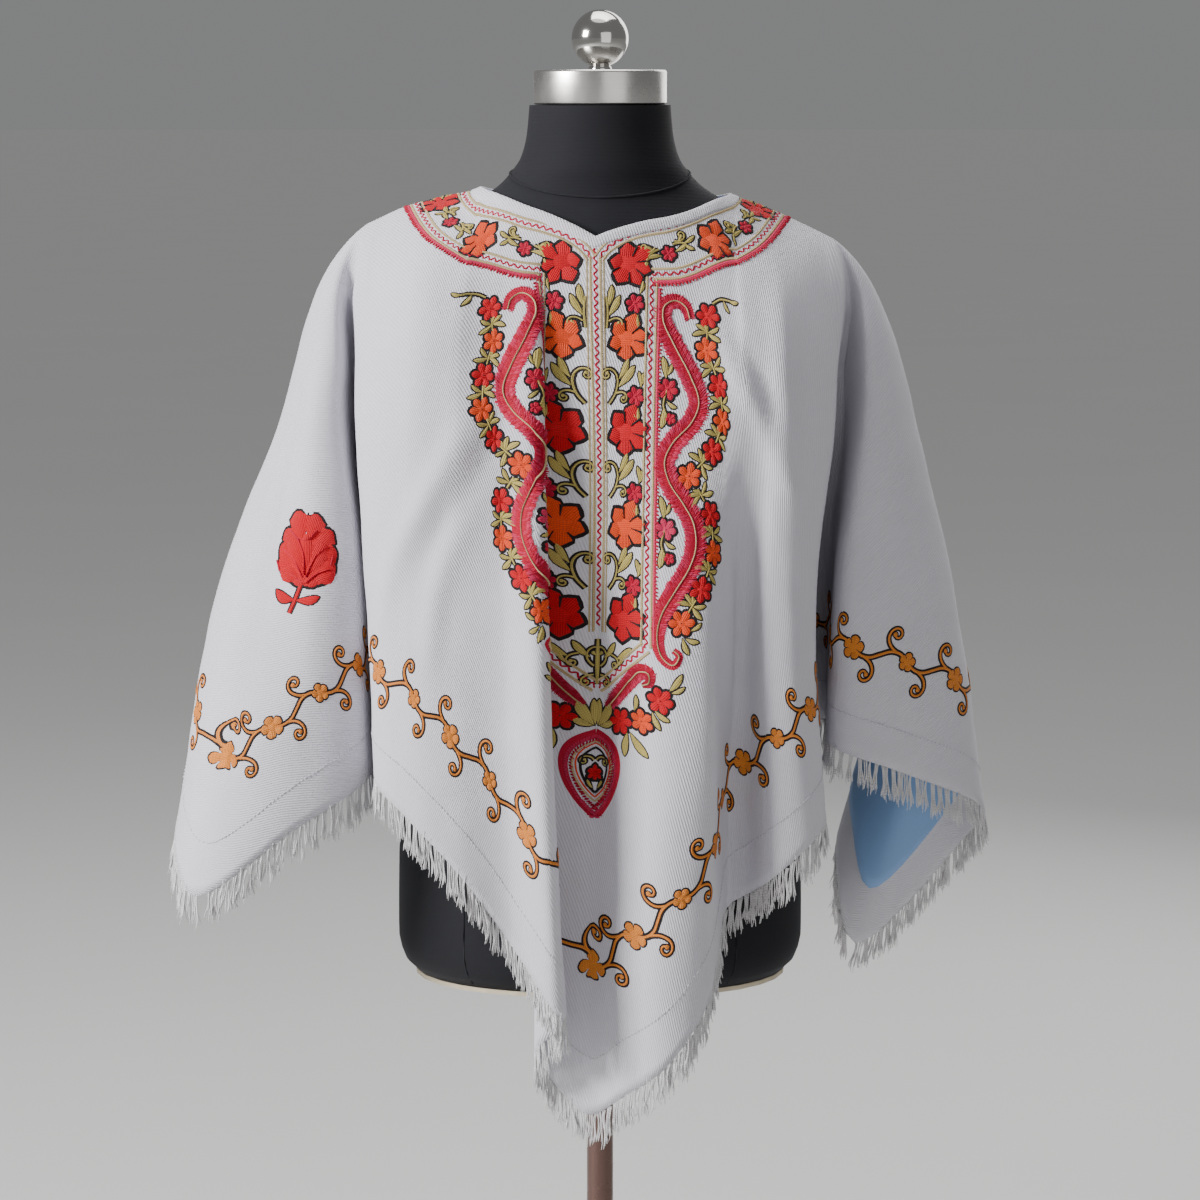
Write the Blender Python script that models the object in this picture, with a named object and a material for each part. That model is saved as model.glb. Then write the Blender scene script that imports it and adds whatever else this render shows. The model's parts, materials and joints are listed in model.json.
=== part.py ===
"""Embroidered square poncho worn on a dress form.

The cloth is a square with a round neck hole, worn corner to the front. Each row of FOLDS is one
line of cloth from the neck or the shoulder point down to the hem. The surface passes through
those lines, and the shell, the lining and the fringe are all made from it.
Metres, +Z up, the wearer looks along -Y, origin on the floor under the middle of the stand.
"""
import math
from collections import namedtuple

import bpy
import numpy as np

MM = 0.001

# The flat cut
HALF_DIAGONAL = 0.900
EDGE = HALF_DIAGONAL * math.sqrt(2)
NECK_RADIUS = 0.110
NECK_DEPTH = 0.089
NECK_DEPTH_FRONT = 0.0868
NECK_FRONT_SHARE = 0.853
NECK_NOTCH = 0.0068
NECK_NOTCH_HALF_WIDTH = 0.050
NECK_NOTCH_AT = -0.009
NECK_CENTRE_X = 0.005
SHOULDER_REACH = 0.210

# Thicknesses, from the middle layer outwards and inwards
LAYER_GAP = 0.0003
SHELL_WALL = 0.0015
LINING_WALL = 0.0010
CLEAR_OF_FORM = 0.0030
LINING_MARGIN = 0.040
BINDING_WIDTH = 0.011
BINDING_WALL = 0.0010
SEAM_GAP = 0.0003
ROWS_DOWN = 12
ROW_CROWDING = 1.45

# Fringe
STRIP_DEPTH = 0.003
STRIP_GAP = 0.0006
STRIP_OUTER = 0.0015
STRIP_INNER = 0.0003
LOCK_PITCH = 0.019
LOCK_LENGTH = 0.031
END_SHARE = 0.35
FRINGE_SIDES = [
    "fringe_front_right_arm",
    "fringe_back_right_arm",
    "fringe_back_left_arm",
    "fringe_front_left_arm",
]

# Stand
POLE_DIAMETER = 0.025
BASE_DIAMETER = 0.360
BASE_THICKNESS = 0.012
CAP_DIAMETER = 0.120
CAP_HEIGHT = 0.031
BALL_DIAMETER = 0.051
BALL_STEM = 0.002
BALL_STEM_RADIUS = 0.009
TOUCH = 0.0003

# One row for each fold line, going round from the front corner by the wearer's right arm.
# top: where it starts on the shoulder line, measured from the middle (the shoulder point is 210).
# run: where it ends, measured along the hem from the front corner.
# columns: how many mesh columns lie between this line and the next. All in millimetres.
Fold = namedtuple("Fold", "name top run hem hip chest columns")
FOLDS = [
    Fold("corner_front", -9, 0, (-10, -166, 617), (-4, -153), (0, -139), 2),
    Fold("pleat_inner", -48, 72, (-53, -160, 660), (-55, -144), (-50, -137), 2),
    Fold("pleat_inner_turn", -52, 94, (-58, -176, 676), (-60, -158), (-53, -142), 2),
    Fold("pleat_ridge_turn", -57, 130, (-38, -192, 702), (-50, -182), (-51, -147), 1),
    Fold("pleat_ridge", -60, 143, (-31, -201, 711), (-43, -192), (-49, -152), 1),
    Fold("pleat_front", -65, 156, (-38, -210, 722), (-50, -200), (-56, -155), 2),
    Fold("left_dip", -84, 228, (-78, -186, 778), (-82, -176), (-86, -143), 2),
    Fold("left_mid", -110, 320, (-124, -188, 843), (-128, -166), (-126, -136), 2),
    Fold("left_outer", -160, 405, (-168, -172, 888), (-168, -150), (-165, -125), 2),
    Fold("left_edge", -210, 470, (-197, -138, 912), (-205, -115), (-214, -78), 3),
    Fold("left_fold_in", -210, 640, (-190, 98, 930), (-197, 62), (-213, 12), 1),
    Fold("left_fold_out", -210, 690, (-211, 100, 932), (-214, 64), (-224, 14), 3),
    Fold("wing_edge", -210, 1050, (-212, -95, 905), (-221, -82), (-236, -52), 2),
    Fold("wing_front", -210, 1150, (-275, -138, 868), (-258, -98), (-250, -54), 2),
    Fold("corner_left", -210, 1273, (-357, -148, 812), (-312, -92), (-268, -40), 1),
    Fold("wing_turn", -210, 1310, (-378, -110, 826), (-338, -66), (-277, -26), 1),
    Fold("left_side", -210, 1395, (-387, -20, 866), (-352, -8), (-283, 0), 2),
    Fold("left_back", -210, 1520, (-362, 90, 912), (-322, 70), (-272, 36), 2),
    Fold("left_back_turn", -210, 1640, (-300, 152, 938), (-280, 112), (-254, 62), 2),
    Fold("left_valley", -210, 1760, (-238, 78, 940), (-243, 67), (-241, 51), 1),
    Fold("left_valley_turn", -210, 1785, (-226, 80, 940), (-231, 68), (-234, 53), 2),
    Fold("back_left_edge", -210, 1930, (-226, 168, 920), (-222, 130), (-220, 84), 2),
    Fold("back_left", -160, 2110, (-158, 172, 850), (-165, 148), (-170, 112), 2),
    Fold("back_left_dip", -110, 2260, (-108, 150, 772), (-112, 138), (-118, 122), 3),
    Fold("back_left_ridge", -75, 2390, (-62, 192, 700), (-68, 172), (-75, 130), 2),
    Fold("back_dip", -38, 2480, (-22, 170, 648), (-30, 156), (-38, 131), 1),
    Fold("corner_back", 0, 2546, (10, 186, 610), (4, 166), (0, 133), 2),
    Fold("back_right_ridge", 48, 2650, (66, 196, 676), (56, 174), (50, 131), 3),
    Fold("back_right_dip", 110, 2790, (112, 156, 762), (104, 142), (98, 124), 2),
    Fold("back_right", 160, 2930, (160, 176, 832), (158, 150), (158, 114), 2),
    Fold("back_right_edge", 210, 3090, (206, 166, 892), (210, 130), (215, 84), 2),
    Fold("right_valley", 210, 3240, (213, 98, 922), (219, 79), (227, 56), 1),
    Fold("right_valley_turn", 210, 3262, (226, 97, 923), (231, 77), (235, 53), 2),
    Fold("right_back_ridge", 210, 3400, (262, 196, 925), (258, 138), (250, 66), 2),
    Fold("right_back_turn", 210, 3500, (322, 172, 905), (292, 118), (262, 52), 2),
    Fold("right_inner", 210, 3650, (236, 134, 818), (276, 92), (268, 38), 1),
    Fold("right_inner_turn", 210, 3740, (230, 104, 764), (284, 70), (271, 30), 1),
    Fold("corner_right", 210, 3819, (246, 84, 706), (296, 56), (274, 22), 2),
    Fold("right_side_back", 210, 3930, (350, 72, 815), (326, 34), (280, 10), 1),
    Fold("right_side", 210, 4010, (354, -6, 862), (326, -4), (280, -8), 2),
    Fold("flap_front", 210, 4120, (274, -56, 905), (276, -54), (264, -38), 2),
    Fold("flap_edge", 210, 4215, (212, -66, 930), (222, -72), (240, -56), 3),
    Fold("right_fold_out", 210, 4390, (214, 46, 936), (214, 34), (226, 0), 1),
    Fold("right_fold_in", 210, 4430, (193, 44, 934), (196, 32), (214, -2), 3),
    Fold("strip_edge", 210, 4625, (198, -128, 872), (188, -110), (206, -80), 1),
    Fold("strip_mid", 185, 4680, (174, -150, 848), (168, -136), (180, -113), 1),
    Fold("strip_inner", 160, 4725, (150, -143, 824), (147, -136), (160, -125), 1),
    Fold("recess_outer", 135, 4760, (134, -114, 806), (133, -118), (142, -129), 1),
    Fold("recess", 110, 4790, (114, -108, 792), (116, -116), (126, -132), 2),
    Fold("ridge_wall", 92, 4860, (103, -140, 752), (104, -142), (106, -137), 1),
    Fold("ridge_turn", 76, 4920, (92, -182, 718), (96, -174), (86, -142), 1),
    Fold("ridge_front", 52, 4985, (56, -198, 668), (60, -184), (57, -145), 1),
    Fold("front_slope", 26, 5045, (20, -182, 638), (24, -168), (28, -142), 1),
]
CHEST_SHARE = 0.30
HIP_SHARE = 0.65

# The top edge of the cloth along each shoulder: distance out from the middle and height.
SHOULDER_LEFT = [(0.100, 1.4310), (0.140, 1.4240), (0.174, 1.4150), (0.210, 1.3990)]
SHOULDER_RIGHT = [(0.100, 1.4270), (0.140, 1.4160), (0.188, 1.3960), (0.210, 1.3860)]

# Level sections of the torso: height, half width, half depth, centre line and squareness.
Section = namedtuple("Section", "z half_width half_depth y squareness")
TORSO = [
    Section(0.712, 0.172, 0.110, 0.000, 2.3),
    Section(0.722, 0.182, 0.119, 0.000, 2.3),
    Section(0.745, 0.188, 0.125, 0.000, 2.3),
    Section(0.820, 0.187, 0.124, 0.000, 2.3),
    Section(0.920, 0.166, 0.112, 0.000, 2.3),
    Section(1.020, 0.140, 0.100, 0.000, 2.3),
    Section(1.120, 0.150, 0.108, -0.004, 2.3),
    Section(1.220, 0.172, 0.122, -0.008, 2.3),
    Section(1.300, 0.185, 0.114, -0.004, 2.2),
    Section(1.350, 0.189, 0.104, 0.000, 2.0),
    Section(1.375, 0.184, 0.098, 0.000, 1.8),
    Section(1.392, 0.170, 0.092, 0.000, 1.7),
    Section(1.408, 0.142, 0.085, 0.000, 1.7),
    Section(1.424, 0.112, 0.078, 0.000, 1.8),
    Section(1.440, 0.088, 0.0735, 0.000, 1.9),
    Section(1.458, 0.072, 0.070, 0.000, 2.0),
    Section(1.480, 0.066, 0.066, 0.000, 2.0),
    Section(1.506, 0.0635, 0.0635, 0.000, 2.0),
]
NECK_TOP = TORSO[-1].z
TORSO_BOTTOM = TORSO[0].z
BOARD_THICKNESS = 0.004
TORSO_SIDES = 32
# The cloth bridges the hollows of the shoulders, so the torso lies a little lower there.
SHOULDER_BRIDGE = 0.0051
BRIDGE_FROM, BRIDGE_TO = 1.330, 1.450


def clear_scene():
    for thing in list(bpy.data.objects):
        bpy.data.objects.remove(thing, do_unlink=True)


def material(name, colour, roughness, metallic=0.0):
    made = bpy.data.materials.new(name)
    made.use_nodes = True
    shader = made.node_tree.nodes["Principled BSDF"]
    shader.inputs["Base Color"].default_value = (*colour, 1.0)
    shader.inputs["Roughness"].default_value = roughness
    shader.inputs["Metallic"].default_value = metallic
    return made


def add_object(name, mesh, look, smooth=True):
    made = bpy.data.objects.new(name, mesh)
    bpy.context.collection.objects.link(made)
    mesh.materials.append(look)
    if smooth:
        mesh.shade_smooth()
        mesh.set_sharp_from_angle(angle=math.radians(50))
    return made


def mesh_from(name, points, faces):
    mesh = bpy.data.meshes.new(name)
    mesh.from_pydata([tuple(map(float, p)) for p in points], [], faces)
    mesh.validate()
    return mesh


def monotone(x, knots, values):
    """A smooth curve through the knots that never swings past them."""
    knots = np.asarray(knots, float)
    values = np.asarray(values, float)
    steps = np.diff(knots)
    slopes = np.diff(values, axis=0) / steps.reshape((-1,) + (1,) * (values.ndim - 1))
    tangents = np.zeros_like(values)
    tangents[0] = slopes[0]
    tangents[-1] = slopes[-1]
    for i in range(1, len(knots) - 1):
        before, after = slopes[i - 1], slopes[i]
        same_way = before * after > 0
        safe_before = np.where(same_way, before, 1.0)
        safe_after = np.where(same_way, after, 1.0)
        w_before = 2 * steps[i] + steps[i - 1]
        w_after = steps[i] + 2 * steps[i - 1]
        mean = (w_before + w_after) / (w_before / safe_before + w_after / safe_after)
        tangents[i] = np.where(same_way, mean, 0.0)
    k = int(np.clip(np.searchsorted(knots, x) - 1, 0, len(knots) - 2))
    leave, arrive = steps[k] * tangents[k], steps[k] * tangents[k + 1]
    return hermite((x - knots[k]) / steps[k], values[k], values[k + 1], leave, arrive)


def hermite(t, start, end, leave, arrive):
    return (
        (2 * t**3 - 3 * t**2 + 1) * start
        + (t**3 - 2 * t**2 + t) * leave
        + (3 * t**2 - 2 * t**3) * end
        + (t**3 - t**2) * arrive
    )


# ---- the torso as a formula, so that the cloth can rest on it ----

TORSO_Z = [s.z for s in TORSO]
TORSO_VALUES = [s[1:] for s in TORSO]


def torso_section(z):
    return monotone(min(max(z, TORSO_BOTTOM), NECK_TOP), TORSO_Z, TORSO_VALUES)


def torso_radius(point):
    """1 on the torso's surface, less inside and more outside."""
    half_width, half_depth, y, squareness = torso_section(point[2])
    across = abs(point[0]) / half_width
    along = abs(point[1] - y) / half_depth
    return (across**squareness + along**squareness) ** (1 / squareness)


def torso_top(x, y):
    low, high = 1.250, NECK_TOP
    for _ in range(30):
        middle = (low + high) / 2
        if torso_radius((x, y, middle)) > 1:
            high = middle
        else:
            low = middle
    return low


def pushed_out(point, clear):
    """The point, moved straight out of the torso until it is clear of it."""
    tiny = 1e-4
    for _ in range(10):
        if not TORSO_BOTTOM < point[2] < NECK_TOP:
            return point
        here = torso_radius(point)
        if here > 1.6:
            return point
        slope = np.array([(torso_radius(point + tiny * axis) - here) / tiny for axis in np.eye(3)])
        size = np.linalg.norm(slope)
        distance = (here - 1) / size
        if distance >= clear - 1e-5:
            return point
        point = point + (clear - distance) * slope / size
    return point


# ---- the flat cut and the worn cloth ----


def hem_point_flat(run):
    """A point of the square's edge: right and forward of the middle."""
    side, along = divmod(run % (4 * EDGE), EDGE)
    step = along / math.sqrt(2)
    corners = [(0, HALF_DIAGONAL), (-HALF_DIAGONAL, 0), (0, -HALF_DIAGONAL), (HALF_DIAGONAL, 0)]
    ways = [(-1, -1), (1, -1), (1, 1), (-1, 1)]
    corner, way = corners[int(side)], ways[int(side)]
    return np.array([corner[0] + way[0] * step, corner[1] + way[1] * step])


def neck_notch(across, facing):
    if facing < 0:
        return 0.0
    return NECK_NOTCH * max(0.0, 1 - abs(across - NECK_NOTCH_AT) / NECK_NOTCH_HALF_WIDTH) ** 1.5


def top_point_flat(across, facing):
    if abs(across) >= NECK_RADIUS:
        return np.array([across, 0.0])
    reach = math.sqrt(NECK_RADIUS**2 - across**2) * (NECK_FRONT_SHARE if facing > 0 else 1.0)
    return np.array([across, facing * reach + neck_notch(across, facing)])


def top_point_worn(across, facing):
    """Where a line of cloth starts: on the neck edge, along the shoulder or at the shoulder point."""
    if abs(across) >= NECK_RADIUS:
        shoulder = SHOULDER_LEFT if across < 0 else SHOULDER_RIGHT
        drift = NECK_CENTRE_X * (SHOULDER_REACH - abs(across)) / (SHOULDER_REACH - NECK_RADIUS)
        z = float(monotone(abs(across), [s[0] for s in shoulder], [s[1] for s in shoulder]))
        point = np.array([across + drift, 0.0, z])
        return pushed_out(point, CLEAR_OF_FORM) if abs(across) > NECK_RADIUS else point
    turn = math.asin(across / NECK_RADIUS)
    x = NECK_CENTRE_X + NECK_RADIUS * math.sin(turn)
    depth = NECK_DEPTH_FRONT if facing > 0 else NECK_DEPTH
    y = -facing * (depth * math.cos(turn) + neck_notch(across, facing))
    shoulder = SHOULDER_LEFT if across < 0 else SHOULDER_RIGHT
    at_side = float(monotone(NECK_RADIUS, [s[0] for s in shoulder], [s[1] for s in shoulder]))
    rest = torso_top(x, y) + CLEAR_OF_FORM
    blend = abs(math.sin(turn)) ** 6
    return pushed_out(np.array([x, y, rest * (1 - blend) + max(at_side, rest) * blend]), CLEAR_OF_FORM)


def first_heading(across, facing, hem_flat):
    """Plan direction in which a line of cloth leaves its top, per metre of cloth."""
    if abs(across) < NECK_RADIUS:
        level = 0.42 + 0.50 * (across / NECK_RADIUS) ** 2
        return np.array([0.0, -facing * level])
    if abs(across) < SHOULDER_REACH - 1e-6:
        return np.array([0.0, -facing * 0.94])
    out = hem_flat - np.array([across, 0.0])
    out /= np.linalg.norm(out)
    return np.array([out[0] * 0.82, -out[1] * 0.94])


Line = namedtuple("Line", "top run facing hem hip chest")


def spline(p0, p1, p2, p3, t):
    """Centripetal Catmull-Rom between p1 and p2."""
    def gap(a, b):
        return max(math.sqrt(np.linalg.norm(b - a)), 1e-4)

    t1 = gap(p0, p1)
    t2 = t1 + gap(p1, p2)
    t3 = t2 + gap(p2, p3)
    x = t1 + t * (t2 - t1)
    a1 = (t1 - x) / t1 * p0 + x / t1 * p1
    a2 = (t2 - x) / (t2 - t1) * p1 + (x - t1) / (t2 - t1) * p2
    a3 = (t3 - x) / (t3 - t2) * p2 + (x - t2) / (t3 - t2) * p3
    b1 = (t2 - x) / t2 * a1 + x / t2 * a2
    b2 = (t3 - x) / (t3 - t1) * a2 + (x - t1) / (t3 - t1) * a3
    return (t2 - x) / (t2 - t1) * b1 + (x - t1) / (t2 - t1) * b2


def top_between(start, end, t):
    """Starts on the neck edge are spaced by their angle round the neck."""
    if max(abs(start), abs(end)) > NECK_RADIUS + MM:
        return start + (end - start) * t
    turns = [math.asin(max(-1.0, min(1.0, top / NECK_RADIUS))) for top in (start, end)]
    return NECK_RADIUS * math.sin(turns[0] + (turns[1] - turns[0]) * t)


def fold_lines():
    """Every mesh column: the FOLDS rows and the lines between them."""
    lines = []
    count = len(FOLDS)
    for i, fold in enumerate(FOLDS):
        following = FOLDS[(i + 1) % count]
        next_run = following.run if i + 1 < count else 4 * EDGE / MM
        around = [FOLDS[(i + k) % count] for k in (-1, 0, 1, 2)]
        for step in range(fold.columns):
            t = step / fold.columns
            hem, hip, chest = (
                spline(*[np.array(getattr(f, level), float) * MM for f in around], t)
                for level in ("hem", "hip", "chest")
            )
            run = (fold.run + (next_run - fold.run) * t) * MM
            top = top_between(fold.top * MM, following.top * MM, t)
            facing = 1 if hem_point_flat(run)[1] > 0 else -1
            lines.append(Line(top, run, facing, hem, hip, chest))
    return lines


def hang(line, shares):
    """Points of one line of cloth at the given shares of its length, and its flat points."""
    hem_flat = hem_point_flat(line.run)
    top_flat = top_point_flat(line.top, line.facing)
    length = np.linalg.norm(hem_flat - top_flat)
    start = top_point_worn(line.top, line.facing)
    heading = first_heading(line.top, line.facing, hem_flat) * length
    knots = [0.0, CHEST_SHARE, HIP_SHARE, 1.0]
    plan = [start[:2], line.chest, line.hip, line.hem[:2]]
    middle_slope = (plan[2] - plan[0]) / HIP_SHARE
    low_slope = (plan[3] - plan[1]) / (1 - CHEST_SHARE)
    end_slope = (plan[3] - plan[2]) / (1 - HIP_SHARE)
    slopes = [heading, middle_slope * 0.7, low_slope, end_slope]

    def plan_at(share):
        k = 0 if share < CHEST_SHARE else 1 if share < HIP_SHARE else 2
        span = knots[k + 1] - knots[k]
        t = (share - knots[k]) / span
        return hermite(t, plan[k], plan[k + 1], slopes[k] * span, slopes[k + 1] * span)

    fine = 60
    fall = [0.0]
    previous = plan_at(0.0)
    for i in range(1, fine + 1):
        here = plan_at(i / fine)
        level = np.linalg.norm(here - previous) / (length / fine)
        fall.append(fall[-1] + math.sqrt(max(1 - level**2, 0.03)))
        previous = here
    fall = np.array(fall) / fall[-1]
    points = []
    for share in shares:
        z = start[2] - (start[2] - line.hem[2]) * float(np.interp(share * fine, range(fine + 1), fall))
        point = np.array([*plan_at(share), z])
        points.append(pushed_out(point, CLEAR_OF_FORM) if share > 0 else point)
    flats = [top_flat + (hem_flat - top_flat) * share for share in shares]
    return np.array(points), np.array(flats)


def row_shares():
    """Rows lie closer together over the shoulder than lower down."""
    return [(i / ROWS_DOWN) ** ROW_CROWDING for i in range(ROWS_DOWN + 1)]


# ---- walls made from the cloth's middle layer ----


class Cloth:
    """The middle layer of the garment: a welded grid with one normal at each point."""

    def __init__(self):
        self.lines = fold_lines()
        self.columns = len(self.lines)
        hung = [hang(line, row_shares()) for line in self.lines]
        self.points = []
        self.flats = []
        self.ids = np.zeros((self.columns, ROWS_DOWN + 1), int)
        known = {}
        for column, (points, flats) in enumerate(hung):
            for row in range(ROWS_DOWN + 1):
                key = self.key(column, row)
                if key not in known:
                    known[key] = len(self.points)
                    self.points.append(points[row])
                    self.flats.append(flats[row])
                self.ids[column, row] = known[key]
        self.points = np.array(self.points)
        self.flats = np.array(self.flats)
        self.faces = self.all_faces()
        self.normals = self.point_normals()

    def key(self, column, row):
        """Front and back share the points of the shoulder line and of the shoulder point."""
        top = self.lines[column].top
        if row == 0 and abs(top) > NECK_RADIUS - MM:
            return ("shoulder", round(top / MM))
        return (column, row)

    def all_faces(self):
        faces = []
        for column in range(self.columns):
            right = (column + 1) % self.columns
            for row in range(ROWS_DOWN):
                near, far = self.ids[column, row], self.ids[right, row]
                near_below, far_below = self.ids[column, row + 1], self.ids[right, row + 1]
                if near != far:
                    faces.append([int(near), int(far), int(far_below)])
                faces.append([int(near), int(far_below), int(near_below)])
        return faces

    def point_normals(self):
        normals = np.zeros_like(self.points)
        for face in self.faces:
            corners = self.points[face]
            normal = np.zeros(3)
            for k in range(1, len(corners) - 1):
                normal += np.cross(corners[k] - corners[0], corners[k + 1] - corners[0])
            for vertex in face:
                normals[vertex] += normal
        return normals / np.linalg.norm(normals, axis=1, keepdims=True)

    def hem_distance(self, column):
        """How far the top of a column lies from the edge of the flat square."""
        top = top_point_flat(self.lines[column].top, self.lines[column].facing)
        return (HALF_DIAGONAL - abs(top[0]) - abs(top[1])) / math.sqrt(2)


def border_edges(faces):
    """Edges that have one face only, in the direction of that face."""
    directed = {(face[k - 1], face[k]) for face in faces for k in range(len(face))}
    return [edge for edge in directed if (edge[1], edge[0]) not in directed]


def wall(name, points, normals, faces, outer, inner):
    """A closed wall between two offsets of one surface."""
    count = len(points)
    all_points = np.concatenate([points + normals * outer, points + normals * inner])
    all_faces = [list(face) for face in faces]
    all_faces += [[v + count for v in reversed(face)] for face in faces]
    all_faces += [[b, a, a + count, b + count] for a, b in border_edges(faces)]
    return mesh_from(name, all_points, all_faces)


def shell_mesh(cloth):
    inner = LAYER_GAP / 2
    return wall("shell", cloth.points, cloth.normals, cloth.faces, inner + SHELL_WALL, inner)


class Cut:
    """A piece cut out of the cloth's own triangles, so that it lies flat on them everywhere."""

    def __init__(self, cloth):
        self.cloth = cloth
        self.points = []
        self.normals = []
        self.faces = []
        self.known = {}

    def at(self, start, end, share):
        """The piece's point at a share of the way from one point of the cloth to another."""
        key = (int(start), int(end))
        if key not in self.known:
            self.known[key] = len(self.points)
            for kept, source in ((self.points, self.cloth.points), (self.normals, self.cloth.normals)):
                kept.append(source[start] * (1 - share) + source[end] * share)
        return self.known[key]

    def on(self, vertex):
        return self.at(vertex, vertex, 0.0)

    def wall(self, name, outer, inner):
        return wall(name, np.array(self.points), np.array(self.normals), self.faces, outer, inner)


def lining_mesh(cloth):
    """The lining follows the shell inside, and stops short of the hem."""
    cut = Cut(cloth)
    last_gap = 1 - row_shares()[-2]
    for column in range(cloth.columns):
        right = (column + 1) % cloth.columns
        for row in range(ROWS_DOWN - 1):
            near, far = cloth.ids[column, row], cloth.ids[right, row]
            near_below, far_below = cloth.ids[column, row + 1], cloth.ids[right, row + 1]
            if near != far:
                cut.faces.append([cut.on(near), cut.on(far), cut.on(far_below)])
            cut.faces.append([cut.on(near), cut.on(far_below), cut.on(near_below)])
        near, near_below = cloth.ids[column, -2:]
        far, far_below = cloth.ids[right, -2:]
        near_keep = 1 - LINING_MARGIN / cloth.hem_distance(column) / last_gap
        far_keep = 1 - LINING_MARGIN / cloth.hem_distance(right) / last_gap
        far_end = cut.at(far, far_below, far_keep)
        cross_end = cut.at(near, far_below, near_keep)
        cut.faces.append([cut.on(near), cut.on(far), far_end])
        cut.faces.append([cut.on(near), far_end, cross_end])
        cut.faces.append([cut.on(near), cross_end, cut.at(near, near_below, near_keep)])
    outer = -LAYER_GAP / 2
    return cut.wall("lining", outer, outer - LINING_WALL)


def binding_mesh(cloth):
    """The turned neck edge: a narrow band on the shell."""
    cut = Cut(cloth)

    def in_from(edge, towards):
        length = np.linalg.norm(cloth.points[towards] - cloth.points[edge])
        return cut.at(edge, towards, BINDING_WIDTH / length)

    for column, line in enumerate(cloth.lines):
        right = (column + 1) % cloth.columns
        near, near_below = cloth.ids[column, :2]
        far, far_below = cloth.ids[right, :2]
        near_on_neck = abs(line.top) < NECK_RADIUS + MM
        far_on_neck = abs(cloth.lines[right].top) < NECK_RADIUS + MM
        if near_on_neck and far_on_neck:
            cut.faces.append([cut.on(near), cut.on(far), in_from(far, far_below)])
            cut.faces.append([cut.on(near), in_from(far, far_below), in_from(near, far_below)])
        elif far_on_neck:
            cut.faces.append([in_from(far, near), cut.on(far), in_from(far, far_below)])
        elif near_on_neck:
            cut.faces.append([cut.on(near), in_from(near, far), in_from(near, far_below)])
        if near_on_neck:
            cut.faces.append([cut.on(near), in_from(near, far_below), in_from(near, near_below)])
    lift = LAYER_GAP / 2 + SHELL_WALL + SEAM_GAP
    return cut.wall("neck_binding", lift + BINDING_WALL, lift)


def fringe_mesh(name, cloth, side):
    """One side of the fringe: a narrow strip just below the hem, with a tapered lock on each step."""
    first, last = side * EDGE, (side + 1) * EDGE
    columns = [c for c in range(cloth.columns) if first - MM <= cloth.lines[c].run <= last + MM]
    if side == 3:
        columns.append(0)
    stations = []
    for column in columns:
        here = cloth.ids[column, -1]
        above = cloth.ids[column, -2]
        down = cloth.points[here] - cloth.points[above]
        stations.append((cloth.points[here], cloth.normals[here], down / np.linalg.norm(down)))
    fine = []
    for k in range(len(stations) - 1):
        start, end = stations[k], stations[k + 1]
        steps = max(1, round(np.linalg.norm(end[0] - start[0]) / LOCK_PITCH))
        for step in range(steps):
            t = step / steps
            fine.append([a * (1 - t) + b * t for a, b in zip(start, end)])
    fine.append(list(stations[-1]))
    inward = (fine[1][0] - fine[0][0]) * END_SHARE
    fine[0][0] = fine[0][0] + inward
    fine[-1][0] = fine[-1][0] - (fine[-1][0] - fine[-2][0]) * END_SHARE
    points, faces = [], []
    for point, normal, down in fine:
        top = point + down * STRIP_GAP
        bottom = point + down * (STRIP_GAP + STRIP_DEPTH)
        points.append(top + normal * STRIP_OUTER)
        points.append(bottom + normal * STRIP_OUTER)
        points.append(bottom + normal * STRIP_INNER)
        points.append(top + normal * STRIP_INNER)
    count = len(fine)
    faces.append([0, 1, 2, 3])
    faces.append([4 * count - 1, 4 * count - 2, 4 * count - 3, 4 * count - 4])
    for k in range(count - 1):
        a, b = 4 * k, 4 * (k + 1)
        faces.append([a, b, b + 1, a + 1])
        faces.append([a + 2, b + 2, b + 3, a + 3])
        faces.append([a + 3, b + 3, b, a])
        root = [a + 1, b + 1, b + 2, a + 2]
        middle = sum(points[v] for v in root) / 4
        down = fine[k][2] * 0.45 + fine[k + 1][2] * 0.45 + np.array([0.0, 0.0, -1.1])
        tip = len(points)
        points.append(middle + down / np.linalg.norm(down) * LOCK_LENGTH)
        faces += [[root[i], root[(i + 1) % 4], tip] for i in range(4)]
    return mesh_from(name, points, faces)


# ---- the stand ----


def torso_mesh():
    points = []
    for section in TORSO:
        bridge = SHOULDER_BRIDGE if BRIDGE_FROM < section.z < BRIDGE_TO else 0.0
        points += section_ring(section, -bridge, section.z)
    return mesh_from("form_torso", points, ring_faces(len(TORSO), TORSO_SIDES))


def section_ring(section, wider, z):
    """The points of one level section, made wider all round by the given amount."""
    power = 2 / section.squareness
    ring = []
    for k in range(TORSO_SIDES):
        turn = 2 * math.pi * k / TORSO_SIDES
        x = (section.half_width + wider) * math.copysign(abs(math.cos(turn)) ** power, math.cos(turn))
        y = (section.half_depth + wider) * math.copysign(abs(math.sin(turn)) ** power, math.sin(turn))
        ring.append((x, y + section.y, z))
    return ring


def ring_faces(rings, sides):
    faces = [list(range(sides - 1, -1, -1)), [(rings - 1) * sides + k for k in range(sides)]]
    for ring in range(rings - 1):
        for k in range(sides):
            right = (k + 1) % sides
            low, high = ring * sides, (ring + 1) * sides
            faces.append([low + k, low + right, high + right, high + k])
    return faces


def turned_mesh(name, profile, sides):
    """A solid of revolution about Z, from its radius and height pairs, bottom to top."""
    points = []
    for radius, z in profile:
        for k in range(sides):
            turn = 2 * math.pi * k / sides
            points.append((radius * math.cos(turn), radius * math.sin(turn), z))
    return mesh_from(name, points, ring_faces(len(profile), sides))


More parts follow.
